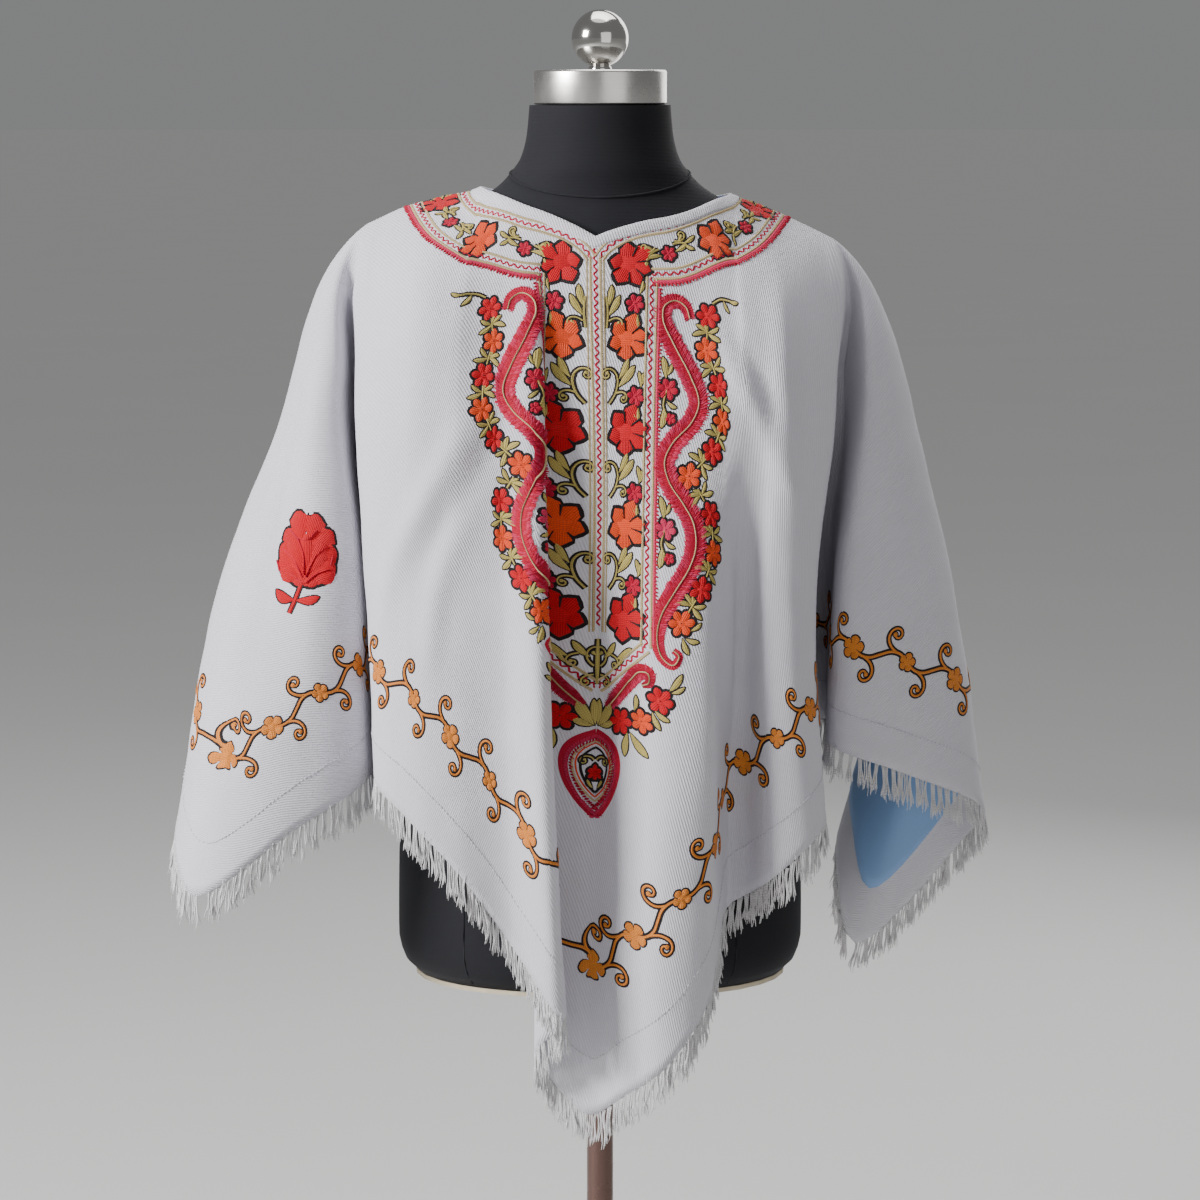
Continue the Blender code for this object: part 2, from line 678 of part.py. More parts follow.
def board_mesh():
    """The pale board that closes the torso below."""
    top = TORSO_BOTTOM - TOUCH
    points = section_ring(TORSO[0], MM, top - BOARD_THICKNESS) + section_ring(TORSO[0], MM, top)
    return mesh_from("form_board", points, ring_faces(2, TORSO_SIDES))


def ball_profile(bottom):
    """A ball with a short stem under it."""
    radius = BALL_DIAMETER / 2
    centre = bottom + BALL_STEM + radius
    steps = 9
    profile = [(BALL_STEM_RADIUS, bottom)]
    start = math.asin(BALL_STEM_RADIUS / radius)
    for k in range(steps):
        turn = start + (math.pi * 0.97 - start) * k / (steps - 1)
        profile.append((radius * math.sin(turn), centre - radius * math.cos(turn)))
    return profile


def build():
    clear_scene()
    wool = material("wool", (0.62, 0.60, 0.63), 0.85)
    lining = material("lining", (0.33, 0.48, 0.72), 0.6)
    binding = material("binding", (0.66, 0.64, 0.66), 0.85)
    yarn = material("yarn", (0.70, 0.69, 0.70), 0.9)
    black_cover = material("black_cover", (0.012, 0.012, 0.016), 0.75)
    board = material("board", (0.62, 0.56, 0.45), 0.7)
    chrome = material("chrome", (0.75, 0.74, 0.72), 0.15, 1.0)
    bronze = material("bronze", (0.16, 0.10, 0.09), 0.3, 0.9)

    cloth = Cloth()
    add_object("shell", shell_mesh(cloth), wool)
    add_object("lining", lining_mesh(cloth), lining)
    add_object("neck_binding", binding_mesh(cloth), binding)
    for side, name in enumerate(FRINGE_SIDES):
        add_object(name, fringe_mesh(name, cloth, side), yarn, smooth=False)

    add_object("form_torso", torso_mesh(), black_cover)
    add_object("form_board", board_mesh(), board)
    cap_bottom = NECK_TOP + TOUCH
    half = CAP_DIAMETER / 2
    cap = [
        (half - 0.002, cap_bottom),
        (half, cap_bottom + 0.002),
        (half, cap_bottom + CAP_HEIGHT - 0.003),
        (half - 0.003, cap_bottom + CAP_HEIGHT),
    ]
    add_object("neck_cap", turned_mesh("neck_cap", cap, 36), chrome)
    ball_bottom = cap_bottom + CAP_HEIGHT + TOUCH
    add_object("cap_ball", turned_mesh("cap_ball", ball_profile(ball_bottom), 20), chrome)

    base_half = BASE_DIAMETER / 2
    base = [
        (base_half - 0.002, 0.0),
        (base_half, 0.002),
        (base_half, BASE_THICKNESS - 0.004),
        (base_half - 0.005, BASE_THICKNESS),
    ]
    add_object("base_disc", turned_mesh("base_disc", base, 48), bronze)
    collar_bottom = BASE_THICKNESS + TOUCH
    collar = [(0.034, collar_bottom), (0.034, collar_bottom + 0.010), (0.020, collar_bottom + 0.030)]
    add_object("base_collar", turned_mesh("base_collar", collar, 24), bronze)
    pole_radius = POLE_DIAMETER / 2
    pole_top = TORSO_BOTTOM - BOARD_THICKNESS - 2 * TOUCH
    pole = [(pole_radius, collar_bottom + 0.030 + TOUCH), (pole_radius, pole_top)]
    add_object("pole", turned_mesh("pole", pole, 20), bronze)


build()
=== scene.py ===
"""Embroidered, fringed square poncho on a dress form: the finished look.

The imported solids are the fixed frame. The cloth is hung again here on the same fold lines with a much
finer grid, and the embroidery, the stitches and the fringe are laid out on the flat cut and carried
onto the worn cloth. Metres, +Z up, the wearer looks along -Y.
"""
import json
import math
import random
from collections import namedtuple

import bpy
import numpy as np
from bpy.props import FloatProperty, FloatVectorProperty, IntProperty, PointerProperty
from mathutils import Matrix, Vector, noise
from mathutils.bvhtree import BVHTree

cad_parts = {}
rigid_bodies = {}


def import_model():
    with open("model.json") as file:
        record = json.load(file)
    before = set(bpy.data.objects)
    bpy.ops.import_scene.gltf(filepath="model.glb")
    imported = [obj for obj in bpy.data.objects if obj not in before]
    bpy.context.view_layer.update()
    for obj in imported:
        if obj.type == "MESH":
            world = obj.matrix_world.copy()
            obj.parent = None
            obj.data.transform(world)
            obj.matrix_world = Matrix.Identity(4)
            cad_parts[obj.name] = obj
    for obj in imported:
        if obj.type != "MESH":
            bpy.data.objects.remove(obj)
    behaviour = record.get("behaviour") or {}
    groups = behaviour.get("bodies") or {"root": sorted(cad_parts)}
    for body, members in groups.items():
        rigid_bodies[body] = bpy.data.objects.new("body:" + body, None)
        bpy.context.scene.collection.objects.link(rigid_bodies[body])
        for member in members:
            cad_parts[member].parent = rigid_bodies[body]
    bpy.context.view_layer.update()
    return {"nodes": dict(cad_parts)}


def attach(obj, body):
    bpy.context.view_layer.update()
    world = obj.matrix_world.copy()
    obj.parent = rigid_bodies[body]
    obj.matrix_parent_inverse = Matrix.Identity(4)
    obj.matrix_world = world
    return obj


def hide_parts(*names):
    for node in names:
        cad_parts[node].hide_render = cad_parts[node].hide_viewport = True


bl_info = {
    "name": "Embroidered Poncho on a Dress Form",
    "version": (1, 0, 0),
    "blender": (4, 5, 0),
    "location": "View3D > Sidebar > Poncho",
    "description": "Cloth, embroidery, fringe and dress form of a square poncho",
    "category": "Add Mesh",
}

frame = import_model()

MM = 0.001

# The flat cut
HALF_DIAGONAL = 0.900
EDGE = HALF_DIAGONAL * math.sqrt(2)
NECK_RADIUS = 0.110
NECK_DEPTH = 0.089
NECK_DEPTH_FRONT = 0.0868
NECK_FRONT_SHARE = 0.853
NECK_NOTCH = 0.0068
NECK_NOTCH_HALF_WIDTH = 0.050
NECK_NOTCH_AT = -0.009
NECK_CENTRE_X = 0.005
SHOULDER_REACH = 0.210

# The layers, from the middle of the cloth outwards and inwards
LAYER_GAP = 0.0003
SHELL_WALL = 0.0015
LINING_WALL = 0.0010
CLEAR_OF_FORM = 0.0030
LINING_MARGIN = 0.040
OUTSIDE = LAYER_GAP / 2 + SHELL_WALL

# The fine grid: columns for each one of the solid's, rows above the lining's edge and below it
FINENESS = 4
ROWS_ABOVE = 66
ROWS_BELOW = 5
ROW_CROWDING = 1.25
FRINGE_SIDES = [
    "fringe_front_right_arm",
    "fringe_back_right_arm",
    "fringe_back_left_arm",
    "fringe_front_left_arm",
]

# One row for each fold line, going round from the front corner by the wearer's right arm.
# top: where it starts on the shoulder line, measured from the middle (the shoulder point is 210).
# run: where it ends, measured along the hem from the front corner.
# columns: how many mesh columns lie between this line and the next. All in millimetres.
# hem: the place of its worn end. hip and chest: where it passes in plan, at those shares of its length.
Fold = namedtuple("Fold", "name top run hem hip chest columns")
FOLDS = [
    Fold("corner_front", -9, 0, (-10, -166, 617), (-4, -153), (0, -139), 2),
    Fold("pleat_inner", -48, 72, (-53, -160, 660), (-55, -144), (-50, -137), 2),
    Fold("pleat_inner_turn", -52, 94, (-58, -176, 676), (-60, -158), (-53, -142), 2),
    Fold("pleat_ridge_turn", -57, 130, (-38, -192, 702), (-50, -182), (-51, -147), 1),
    Fold("pleat_ridge", -60, 143, (-31, -201, 711), (-43, -192), (-49, -152), 1),
    Fold("pleat_front", -65, 156, (-38, -210, 722), (-50, -200), (-56, -155), 2),
    Fold("left_dip", -84, 228, (-78, -186, 778), (-82, -176), (-86, -143), 2),
    Fold("left_mid", -110, 320, (-124, -188, 843), (-128, -166), (-126, -136), 2),
    Fold("left_outer", -160, 405, (-168, -172, 888), (-168, -150), (-165, -125), 2),
    Fold("left_edge", -210, 470, (-197, -138, 912), (-205, -115), (-214, -78), 3),
    Fold("left_fold_in", -210, 640, (-190, 98, 930), (-197, 62), (-213, 12), 1),
    Fold("left_fold_out", -210, 690, (-211, 100, 932), (-214, 64), (-224, 14), 3),
    Fold("wing_edge", -210, 1050, (-212, -95, 905), (-221, -82), (-236, -52), 2),
    Fold("wing_front", -210, 1150, (-275, -138, 868), (-258, -98), (-250, -54), 2),
    Fold("corner_left", -210, 1273, (-357, -148, 812), (-312, -92), (-268, -40), 1),
    Fold("wing_turn", -210, 1310, (-378, -110, 826), (-338, -66), (-277, -26), 1),
    Fold("left_side", -210, 1395, (-387, -20, 866), (-352, -8), (-283, 0), 2),
    Fold("left_back", -210, 1520, (-362, 90, 912), (-322, 70), (-272, 36), 2),
    Fold("left_back_turn", -210, 1640, (-300, 152, 938), (-280, 112), (-254, 62), 2),
    Fold("left_valley", -210, 1760, (-238, 78, 940), (-243, 67), (-241, 51), 1),
    Fold("left_valley_turn", -210, 1785, (-226, 80, 940), (-231, 68), (-234, 53), 2),
    Fold("back_left_edge", -210, 1930, (-226, 168, 920), (-222, 130), (-220, 84), 2),
    Fold("back_left", -160, 2110, (-158, 172, 850), (-165, 148), (-170, 112), 2),
    Fold("back_left_dip", -110, 2260, (-108, 150, 772), (-112, 138), (-118, 122), 3),
    Fold("back_left_ridge", -75, 2390, (-62, 192, 700), (-68, 172), (-75, 130), 2),
    Fold("back_dip", -38, 2480, (-22, 170, 648), (-30, 156), (-38, 131), 1),
    Fold("corner_back", 0, 2546, (10, 186, 610), (4, 166), (0, 133), 2),
    Fold("back_right_ridge", 48, 2650, (66, 196, 676), (56, 174), (50, 131), 3),
    Fold("back_right_dip", 110, 2790, (112, 156, 762), (104, 142), (98, 124), 2),
    Fold("back_right", 160, 2930, (160, 176, 832), (158, 150), (158, 114), 2),
    Fold("back_right_edge", 210, 3090, (206, 166, 892), (210, 130), (215, 84), 2),
    Fold("right_valley", 210, 3240, (213, 98, 922), (219, 79), (227, 56), 1),
    Fold("right_valley_turn", 210, 3262, (226, 97, 923), (231, 77), (235, 53), 2),
    Fold("right_back_ridge", 210, 3400, (262, 196, 925), (258, 138), (250, 66), 2),
    Fold("right_back_turn", 210, 3500, (322, 172, 905), (292, 118), (262, 52), 2),
    Fold("right_inner", 210, 3650, (236, 134, 818), (276, 92), (268, 38), 1),
    Fold("right_inner_turn", 210, 3740, (230, 104, 764), (284, 70), (271, 30), 1),
    Fold("corner_right", 210, 3819, (246, 84, 706), (296, 56), (274, 22), 2),
    Fold("right_side_back", 210, 3930, (350, 72, 815), (326, 34), (280, 10), 1),
    Fold("right_side", 210, 4010, (354, -6, 862), (326, -4), (280, -8), 2),
    Fold("flap_front", 210, 4120, (274, -56, 905), (276, -54), (264, -38), 2),
    Fold("flap_edge", 210, 4215, (212, -66, 930), (222, -72), (240, -56), 3),
    Fold("right_fold_out", 210, 4390, (214, 46, 936), (214, 34), (226, 0), 1),
    Fold("right_fold_in", 210, 4430, (193, 44, 934), (196, 32), (214, -2), 3),
    Fold("strip_edge", 210, 4625, (198, -128, 872), (188, -110), (206, -80), 1),
    Fold("strip_mid", 185, 4680, (174, -150, 848), (168, -136), (180, -113), 1),
    Fold("strip_inner", 160, 4725, (150, -143, 824), (147, -136), (160, -125), 1),
    Fold("recess_outer", 135, 4760, (134, -114, 806), (133, -118), (142, -129), 1),
    Fold("recess", 110, 4790, (114, -108, 792), (116, -116), (126, -132), 2),
    Fold("ridge_wall", 92, 4860, (103, -140, 752), (104, -142), (106, -137), 1),
    Fold("ridge_turn", 76, 4920, (92, -182, 718), (96, -174), (86, -142), 1),
    Fold("ridge_front", 52, 4985, (56, -198, 668), (60, -184), (57, -145), 1),
    Fold("front_slope", 26, 5045, (20, -182, 638), (24, -168), (28, -142), 1),
]
CHEST_SHARE = 0.30
HIP_SHARE = 0.65

# The top edge of the cloth along each shoulder: distance out from the middle and height.
SHOULDER_LEFT = [(0.100, 1.4310), (0.140, 1.4240), (0.174, 1.4150), (0.210, 1.3990)]
SHOULDER_RIGHT = [(0.100, 1.4270), (0.140, 1.4160), (0.188, 1.3960), (0.210, 1.3860)]

# Level sections of the torso: height, half width, half depth, centre line and squareness.
Section = namedtuple("Section", "z half_width half_depth y squareness")
TORSO = [
    Section(0.712, 0.172, 0.110, 0.000, 2.3),
    Section(0.722, 0.182, 0.119, 0.000, 2.3),
    Section(0.745, 0.188, 0.125, 0.000, 2.3),
    Section(0.820, 0.187, 0.124, 0.000, 2.3),
    Section(0.920, 0.166, 0.112, 0.000, 2.3),
    Section(1.020, 0.140, 0.100, 0.000, 2.3),
    Section(1.120, 0.150, 0.108, -0.004, 2.3),
    Section(1.220, 0.172, 0.122, -0.008, 2.3),
    Section(1.300, 0.185, 0.114, -0.004, 2.2),
    Section(1.350, 0.189, 0.104, 0.000, 2.0),
    Section(1.375, 0.184, 0.098, 0.000, 1.8),
    Section(1.392, 0.170, 0.092, 0.000, 1.7),
    Section(1.408, 0.142, 0.085, 0.000, 1.7),
    Section(1.424, 0.112, 0.078, 0.000, 1.8),
    Section(1.440, 0.088, 0.0735, 0.000, 1.9),
    Section(1.458, 0.072, 0.070, 0.000, 2.0),
    Section(1.480, 0.066, 0.066, 0.000, 2.0),
    Section(1.506, 0.0635, 0.0635, 0.000, 2.0),
]
NECK_TOP = TORSO[-1].z
TORSO_BOTTOM = TORSO[0].z
BELOW_SHOULDERS = 1.250

# How far a line of cloth goes sideways as it leaves its top, per metre of cloth: at the middle of the
# neck edge, how much more of it at the ends of that edge, and from the shoulders.
LEVEL_AT_NECK = 0.42
LEVEL_MORE_ASIDE = 0.50
LEVEL_AT_SHOULDER = 0.94
LEVEL_SIDEWAYS = 0.82

# How softly a line of cloth passes the chest, in how many steps its fall is summed, and the least fall
CHEST_EASE = 0.7
HANG_STEPS = 60
LEAST_FALL = 0.03


# ---- the torso and the worn cloth, as formulas ----


def unit_length(rows):
    """Directions of length one."""
    return rows / np.linalg.norm(rows, axis=-1, keepdims=True)


def passed_along(path):
    """The length passed at each point of a path."""
    return np.concatenate([[0.0], np.cumsum(np.linalg.norm(np.diff(path, axis=0), axis=1))])


def read_at(wanted, passed, rows):
    """Rows between the given ones, at the wanted lengths."""
    return np.column_stack([np.interp(wanted, passed, column) for column in rows.T])


def hermite(t, start, end, leave, arrive):
    """The cubic from start to end with the given slopes."""
    return (
        (2 * t**3 - 3 * t**2 + 1) * start
        + (t**3 - 2 * t**2 + t) * leave
        + (3 * t**2 - 2 * t**3) * end
        + (t**3 - t**2) * arrive
    )


def monotone(x, knots, values):
    """A smooth curve through the knots that never swings past them."""
    knots = np.asarray(knots, float)
    values = np.asarray(values, float)
    steps = np.diff(knots)
    slopes = np.diff(values, axis=0) / steps.reshape((-1,) + (1,) * (values.ndim - 1))
    tangents = np.zeros_like(values)
    tangents[0] = slopes[0]
    tangents[-1] = slopes[-1]
    for i in range(1, len(knots) - 1):
        before, after = slopes[i - 1], slopes[i]
        same_way = before * after > 0
        w_before = 2 * steps[i] + steps[i - 1]
        w_after = steps[i] + 2 * steps[i - 1]
        inverse = w_before / np.where(same_way, before, 1.0) + w_after / np.where(same_way, after, 1.0)
        tangents[i] = np.where(same_way, (w_before + w_after) / inverse, 0.0)
    k = int(np.clip(np.searchsorted(knots, x) - 1, 0, len(knots) - 2))
    leave, arrive = steps[k] * tangents[k], steps[k] * tangents[k + 1]
    return hermite((x - knots[k]) / steps[k], values[k], values[k + 1], leave, arrive)


LEVELS = np.linspace(TORSO_BOTTOM, NECK_TOP, 400)
LEVEL_VALUES = np.array([monotone(z, [s.z for s in TORSO], [s[1:] for s in TORSO]) for z in LEVELS])


def torso_section(z):
    """Half width, half depth, centre line and squareness at a height."""
    return [np.interp(z, LEVELS, LEVEL_VALUES[:, k]) for k in range(4)]


def torso_radius(points):
    """1 on the torso's surface, less inside and more outside."""
    half_width, half_depth, y, squareness = torso_section(points[:, 2])
    across = np.abs(points[:, 0]) / half_width
    along = np.abs(points[:, 1] - y) / half_depth
    return (across**squareness + along**squareness) ** (1 / squareness)


def torso_top(x, y):
    """The height at which the torso's surface lies over a place in plan."""
    low, high = BELOW_SHOULDERS, NECK_TOP
    for _ in range(30):
        middle = (low + high) / 2
        if torso_radius(np.array([[x, y, middle]]))[0] > 1:
            high = middle
        else:
            low = middle
    return low


def pushed_out(points, clear):
    """The points, moved straight out of the torso until they are clear of it."""
    points = np.array(points, float)
    tiny, tries, near_torso, slack = 1e-4, 10, 1.6, 1e-5
    for _ in range(tries):
        here = torso_radius(points)
        slope = np.stack([(torso_radius(points + tiny * axis) - here) / tiny for axis in np.eye(3)], axis=1)
        size = np.linalg.norm(slope, axis=1)
        distance = (here - 1) / size
        level = (points[:, 2] > TORSO_BOTTOM) & (points[:, 2] < NECK_TOP)
        move = level & (here < near_torso) & (distance < clear - slack)
        if not move.any():
            break
        points[move] += ((clear - distance[move]) / size[move])[:, None] * slope[move]
    return points


def hem_point_flat(run):
    """A point of the square's edge: right and forward of the middle."""
    side, along = divmod(run % (4 * EDGE), EDGE)
    step = along / math.sqrt(2)
    corners = [(0, HALF_DIAGONAL), (-HALF_DIAGONAL, 0), (0, -HALF_DIAGONAL), (HALF_DIAGONAL, 0)]
    ways = [(-1, -1), (1, -1), (1, 1), (-1, 1)]
    corner, way = corners[int(side)], ways[int(side)]
    return np.array([corner[0] + way[0] * step, corner[1] + way[1] * step])


def neck_notch(across, facing):
    """How far the small V at the front of the neck reaches down there."""
    if facing < 0:
        return 0.0
    return NECK_NOTCH * max(0.0, 1 - abs(across - NECK_NOTCH_AT) / NECK_NOTCH_HALF_WIDTH) ** 1.5


def top_point_flat(across, facing):
    """Where a line of cloth starts on the flat cut. facing is 1 for the front and -1 for the back."""
    if abs(across) >= NECK_RADIUS:
        return np.array([across, 0.0])
    reach = math.sqrt(NECK_RADIUS**2 - across**2) * (NECK_FRONT_SHARE if facing > 0 else 1.0)
    return np.array([across, facing * reach + neck_notch(across, facing)])


def top_point_worn(across, facing):
    """Where a line of cloth starts: on the neck edge, along the shoulder or at the shoulder point."""
    shoulder = SHOULDER_LEFT if across < 0 else SHOULDER_RIGHT
    reaches, heights = [s[0] for s in shoulder], [s[1] for s in shoulder]
    if abs(across) >= NECK_RADIUS:
        drift = NECK_CENTRE_X * (SHOULDER_REACH - abs(across)) / (SHOULDER_REACH - NECK_RADIUS)
        point = np.array([[across + drift, 0.0, float(monotone(abs(across), reaches, heights))]])
        return pushed_out(point, CLEAR_OF_FORM)[0] if abs(across) > NECK_RADIUS else point[0]
    turn = math.asin(across / NECK_RADIUS)
    x = NECK_CENTRE_X + NECK_RADIUS * math.sin(turn)
    depth = NECK_DEPTH_FRONT if facing > 0 else NECK_DEPTH
    y = -facing * (depth * math.cos(turn) + neck_notch(across, facing))
    rest = torso_top(x, y) + CLEAR_OF_FORM
    blend = abs(math.sin(turn)) ** 6
    z = rest * (1 - blend) + max(float(monotone(NECK_RADIUS, reaches, heights)), rest) * blend
    return pushed_out(np.array([[x, y, z]]), CLEAR_OF_FORM)[0]


def first_heading(across, facing, hem_flat):
    """Plan direction in which a line of cloth leaves its top, per metre of cloth."""
    if abs(across) < NECK_RADIUS:
        return np.array([0.0, -facing * (LEVEL_AT_NECK + LEVEL_MORE_ASIDE * (across / NECK_RADIUS) ** 2)])
    if abs(across) < SHOULDER_REACH - 1e-6:
        return np.array([0.0, -facing * LEVEL_AT_SHOULDER])
    out = unit_length(hem_flat - np.array([across, 0.0]))
    return np.array([out[0] * LEVEL_SIDEWAYS, -out[1] * LEVEL_AT_SHOULDER])


Line = namedtuple("Line", "top run facing hem hip chest")


def spline(p0, p1, p2, p3, t):
    """Centripetal Catmull-Rom between p1 and p2."""
    t1 = max(math.sqrt(np.linalg.norm(p1 - p0)), 1e-4)
    t2 = t1 + max(math.sqrt(np.linalg.norm(p2 - p1)), 1e-4)
    t3 = t2 + max(math.sqrt(np.linalg.norm(p3 - p2)), 1e-4)
    x = t1 + t * (t2 - t1)
    a1 = (t1 - x) / t1 * p0 + x / t1 * p1
    a2 = (t2 - x) / (t2 - t1) * p1 + (x - t1) / (t2 - t1) * p2
    a3 = (t3 - x) / (t3 - t2) * p2 + (x - t2) / (t3 - t2) * p3
    b1 = (t2 - x) / t2 * a1 + x / t2 * a2
    b2 = (t3 - x) / (t3 - t1) * a2 + (x - t1) / (t3 - t1) * a3
    return (t2 - x) / (t2 - t1) * b1 + (x - t1) / (t2 - t1) * b2


def top_between(start, end, t):
    """Starts on the neck edge are spaced by their angle round the neck."""
    if max(abs(start), abs(end)) > NECK_RADIUS + MM:
        return start + (end - start) * t
    turns = [math.asin(max(-1.0, min(1.0, top / NECK_RADIUS))) for top in (start, end)]
    return NECK_RADIUS * math.sin(turns[0] + (turns[1] - turns[0]) * t)


def fold_lines():
    """Every mesh column: the FOLDS rows and the lines between them."""
    lines = []
    count = len(FOLDS)
    for i, fold in enumerate(FOLDS):
        following = FOLDS[(i + 1) % count]
        next_run = following.run if i + 1 < count else 4 * EDGE / MM
        around = [FOLDS[(i + k) % count] for k in (-1, 0, 1, 2)]
        columns = fold.columns * FINENESS
        for step in range(columns):
            t = step / columns
            hem, hip, chest = (
                spline(*[np.array(getattr(f, level), float) * MM for f in around], t)
                for level in ("hem", "hip", "chest")
            )
            run = (fold.run + (next_run - fold.run) * t) * MM
            top = top_between(fold.top * MM, following.top * MM, t)
            facing = 1 if hem_point_flat(run)[1] > 0 else -1
            lines.append(Line(top, run, facing, hem, hip, chest))
    return lines


def hang(line, shares):
    """Points of one line of cloth at the given shares of its length, and its flat points."""
    hem_flat = hem_point_flat(line.run)
    top_flat = top_point_flat(line.top, line.facing)
    length = np.linalg.norm(hem_flat - top_flat)
    start = top_point_worn(line.top, line.facing)
    knots = np.array([0.0, CHEST_SHARE, HIP_SHARE, 1.0])
    plan = np.array([start[:2], line.chest, line.hip, line.hem[:2]])
    slopes = np.array(
        [
            first_heading(line.top, line.facing, hem_flat) * length,
            (plan[2] - plan[0]) / HIP_SHARE * CHEST_EASE,
            (plan[3] - plan[1]) / (1 - CHEST_SHARE),
            (plan[3] - plan[2]) / (1 - HIP_SHARE),
        ]
    )

    def plan_at(share):
        k = np.clip(np.searchsorted(knots, share, side="right") - 1, 0, 2)
        span = (knots[k + 1] - knots[k])[:, None]
        t = (share - knots[k])[:, None] / span
        return hermite(t, plan[k], plan[k + 1], slopes[k] * span, slopes[k + 1] * span)

    # what a step of cloth doesn't go sideways, it falls
    fine = np.linspace(0, 1, HANG_STEPS + 1)
    level = np.linalg.norm(np.diff(plan_at(fine), axis=0), axis=1) / (length / HANG_STEPS)
    fall = np.concatenate([[0.0], np.cumsum(np.sqrt(np.maximum(1 - level**2, LEAST_FALL)))])
    z = start[2] - (start[2] - line.hem[2]) * np.interp(shares, fine, fall / fall[-1])
    points = np.column_stack([plan_at(shares), z])
    points[1:] = pushed_out(points[1:], CLEAR_OF_FORM)
    flats = top_flat + (hem_flat - top_flat) * shares[:, None]
    return points, flats


# ---- meshes ----


def linked(name, data):
    """A new object of the scene, at the origin."""
    made = bpy.data.objects.new(name, data)
    bpy.context.scene.collection.objects.link(made)
    return made


def mesh_object(name, points, faces, uvs=None):
    """A smooth mesh object at the origin. uvs holds one pair for each point."""
    mesh = bpy.data.meshes.new(name)
    mesh.from_pydata(np.asarray(points, float).tolist(), [], [list(map(int, f)) for f in faces])
    if uvs is not None:
        layer = mesh.uv_layers.new(name="flat")
        order = np.empty(len(mesh.loops), int)
        mesh.loops.foreach_get("vertex_index", order)
        layer.data.foreach_set("uv", np.asarray(uvs, float)[order].ravel())
    mesh.shade_smooth()
    return linked(name, mesh)


def grid_faces(rows, across, first=0, around=False, looped=False, turned=False):
    """Quads over rows of points, which may close round each row, and from the last row to the first."""
    faces = []
    for i in range(rows if looped else rows - 1):
        low, high = first + i * across, first + (i + 1) % rows * across
        for k in range(across if around else across - 1):
            right = (k + 1) % across
            face = (low + k, low + right, high + right, high + k)
            faces.append((face[0], face[3], face[2], face[1]) if turned else face)
    return faces


def solid_faces(rows, across, first=0, turned=False):
    """The sides and both ends of a stack of closed rings of points."""
    last = first + (rows - 1) * across
    ends = [list(range(first, first + across)), list(range(last, last + across))]
    ends[1 if turned else 0].reverse()
    return grid_faces(rows, across, first, around=True, turned=turned) + ends


def border_edges(faces):
    """Edges that have one face only, in the direction of that face."""
    directed = {(face[k - 1], face[k]) for face in faces for k in range(len(face))}
    return [edge for edge in directed if (edge[1], edge[0]) not in directed]


def wall_object(name, points, normals, faces, uvs, outer, inner):
    """A closed wall between two offsets of one surface."""
    count = len(points)
    all_points = np.concatenate([points + normals * outer, points + normals * inner])
    all_faces = [list(face) for face in faces]
    all_faces += [[v + count for v in reversed(face)] for face in faces]
    all_faces += [[b, a, a + count, b + count] for a, b in border_edges(faces)]
    return mesh_object(name, all_points, all_faces, np.concatenate([uvs, uvs]))


def turned_object(name, profile, sides):
    """A closed solid of revolution about Z, from its radius and height pairs, bottom to top."""
    turns = 2 * math.pi * np.arange(sides) / sides
    points = [(radius * math.cos(turn), radius * math.sin(turn), z) for radius, z in profile for turn in turns]
    made = mesh_object(name, points, solid_faces(len(profile), sides))
    made.data.set_sharp_from_angle(angle=math.radians(40))
    return made


def tube_object(name, path, radius, sides=8, closed=False):
    """A tube along a path of points, with its ends filled unless the path is closed."""
    path = np.asarray(path, float)
    ahead = np.roll(path, -1, axis=0) - np.roll(path, 1, axis=0)
    if not closed:
        ahead[0], ahead[-1] = path[1] - path[0], path[-1] - path[-2]
    ahead = unit_length(ahead)
    side = unit_length(np.cross(ahead, (0.0, 0.0, 1.0)))
    up = np.cross(side, ahead)
    turns = 2 * math.pi * np.arange(sides) / sides
    points = np.stack([path + radius * (math.cos(turn) * side + math.sin(turn) * up) for turn in turns], axis=1)
    if closed:
        faces = grid_faces(len(path), sides, around=True, looped=True, turned=True)
    else:
        faces = solid_faces(len(path), sides, turned=True)
    return mesh_object(name, points.reshape(-1, 3), faces)


# ---- the cloth on its fine grid ----

# Soft creases and hollows on the flat cut: points (right, forward), half width and depth, in millimetres.
Crease = namedtuple("Crease", "path half_width depth")
CREASES = [
    Crease([(96, 176), (143, 221), (194, 262), (240, 292)], 13, -5.5),
    Crease([(118, 162), (163, 203), (216, 244)], 10, 2.0),
    Crease([(168, 96), (189, 204), (224, 300)], 13, -4.5),
    Crease([(-120, 250), (-180, 312), (-245, 366), (-290, 430)], 16, -6.5),
    Crease([(-110, 282), (-160, 338), (-225, 400)], 12, 2.5),
    Crease([(-150, 330), (-205, 420), (-235, 500)], 16, -5.0),
    Crease([(-224, 70), (-300, 120), (-380, 175)], 18, -5.0),
    Crease([(-300, 6), (-420, 20), (-600, 60), (-700, 70)], 26, -6.0),
    Crease([(-320, -60), (-460, -90), (-600, -110)], 24, -6.0),
    Crease([(232, 60), (300, 116), (390, 170)], 18, -5.0),
    Crease([(330, 10), (460, 24), (600, 50)], 26, -6.0),
    Crease([(120, 330), (160, 440), (190, 540)], 22, -5.0),
    Crease([(-60, -220), (-90, -360), (-110, -520)], 26, -5.0),
    Crease([(90, -200), (110, -340), (140, -500)], 26, -5.0),
]


# Small wrinkles all over the cloth: height in metres, how many to a metre, and where they start
WRINKLES = [(0.0016, 11, 3.1), (0.0007, 30, 7.7)]

# Wrinkles and creases begin this far from the middle of the neck, and are full after the fade
CREASES_FROM = 0.12
CREASES_FADE = 0.05


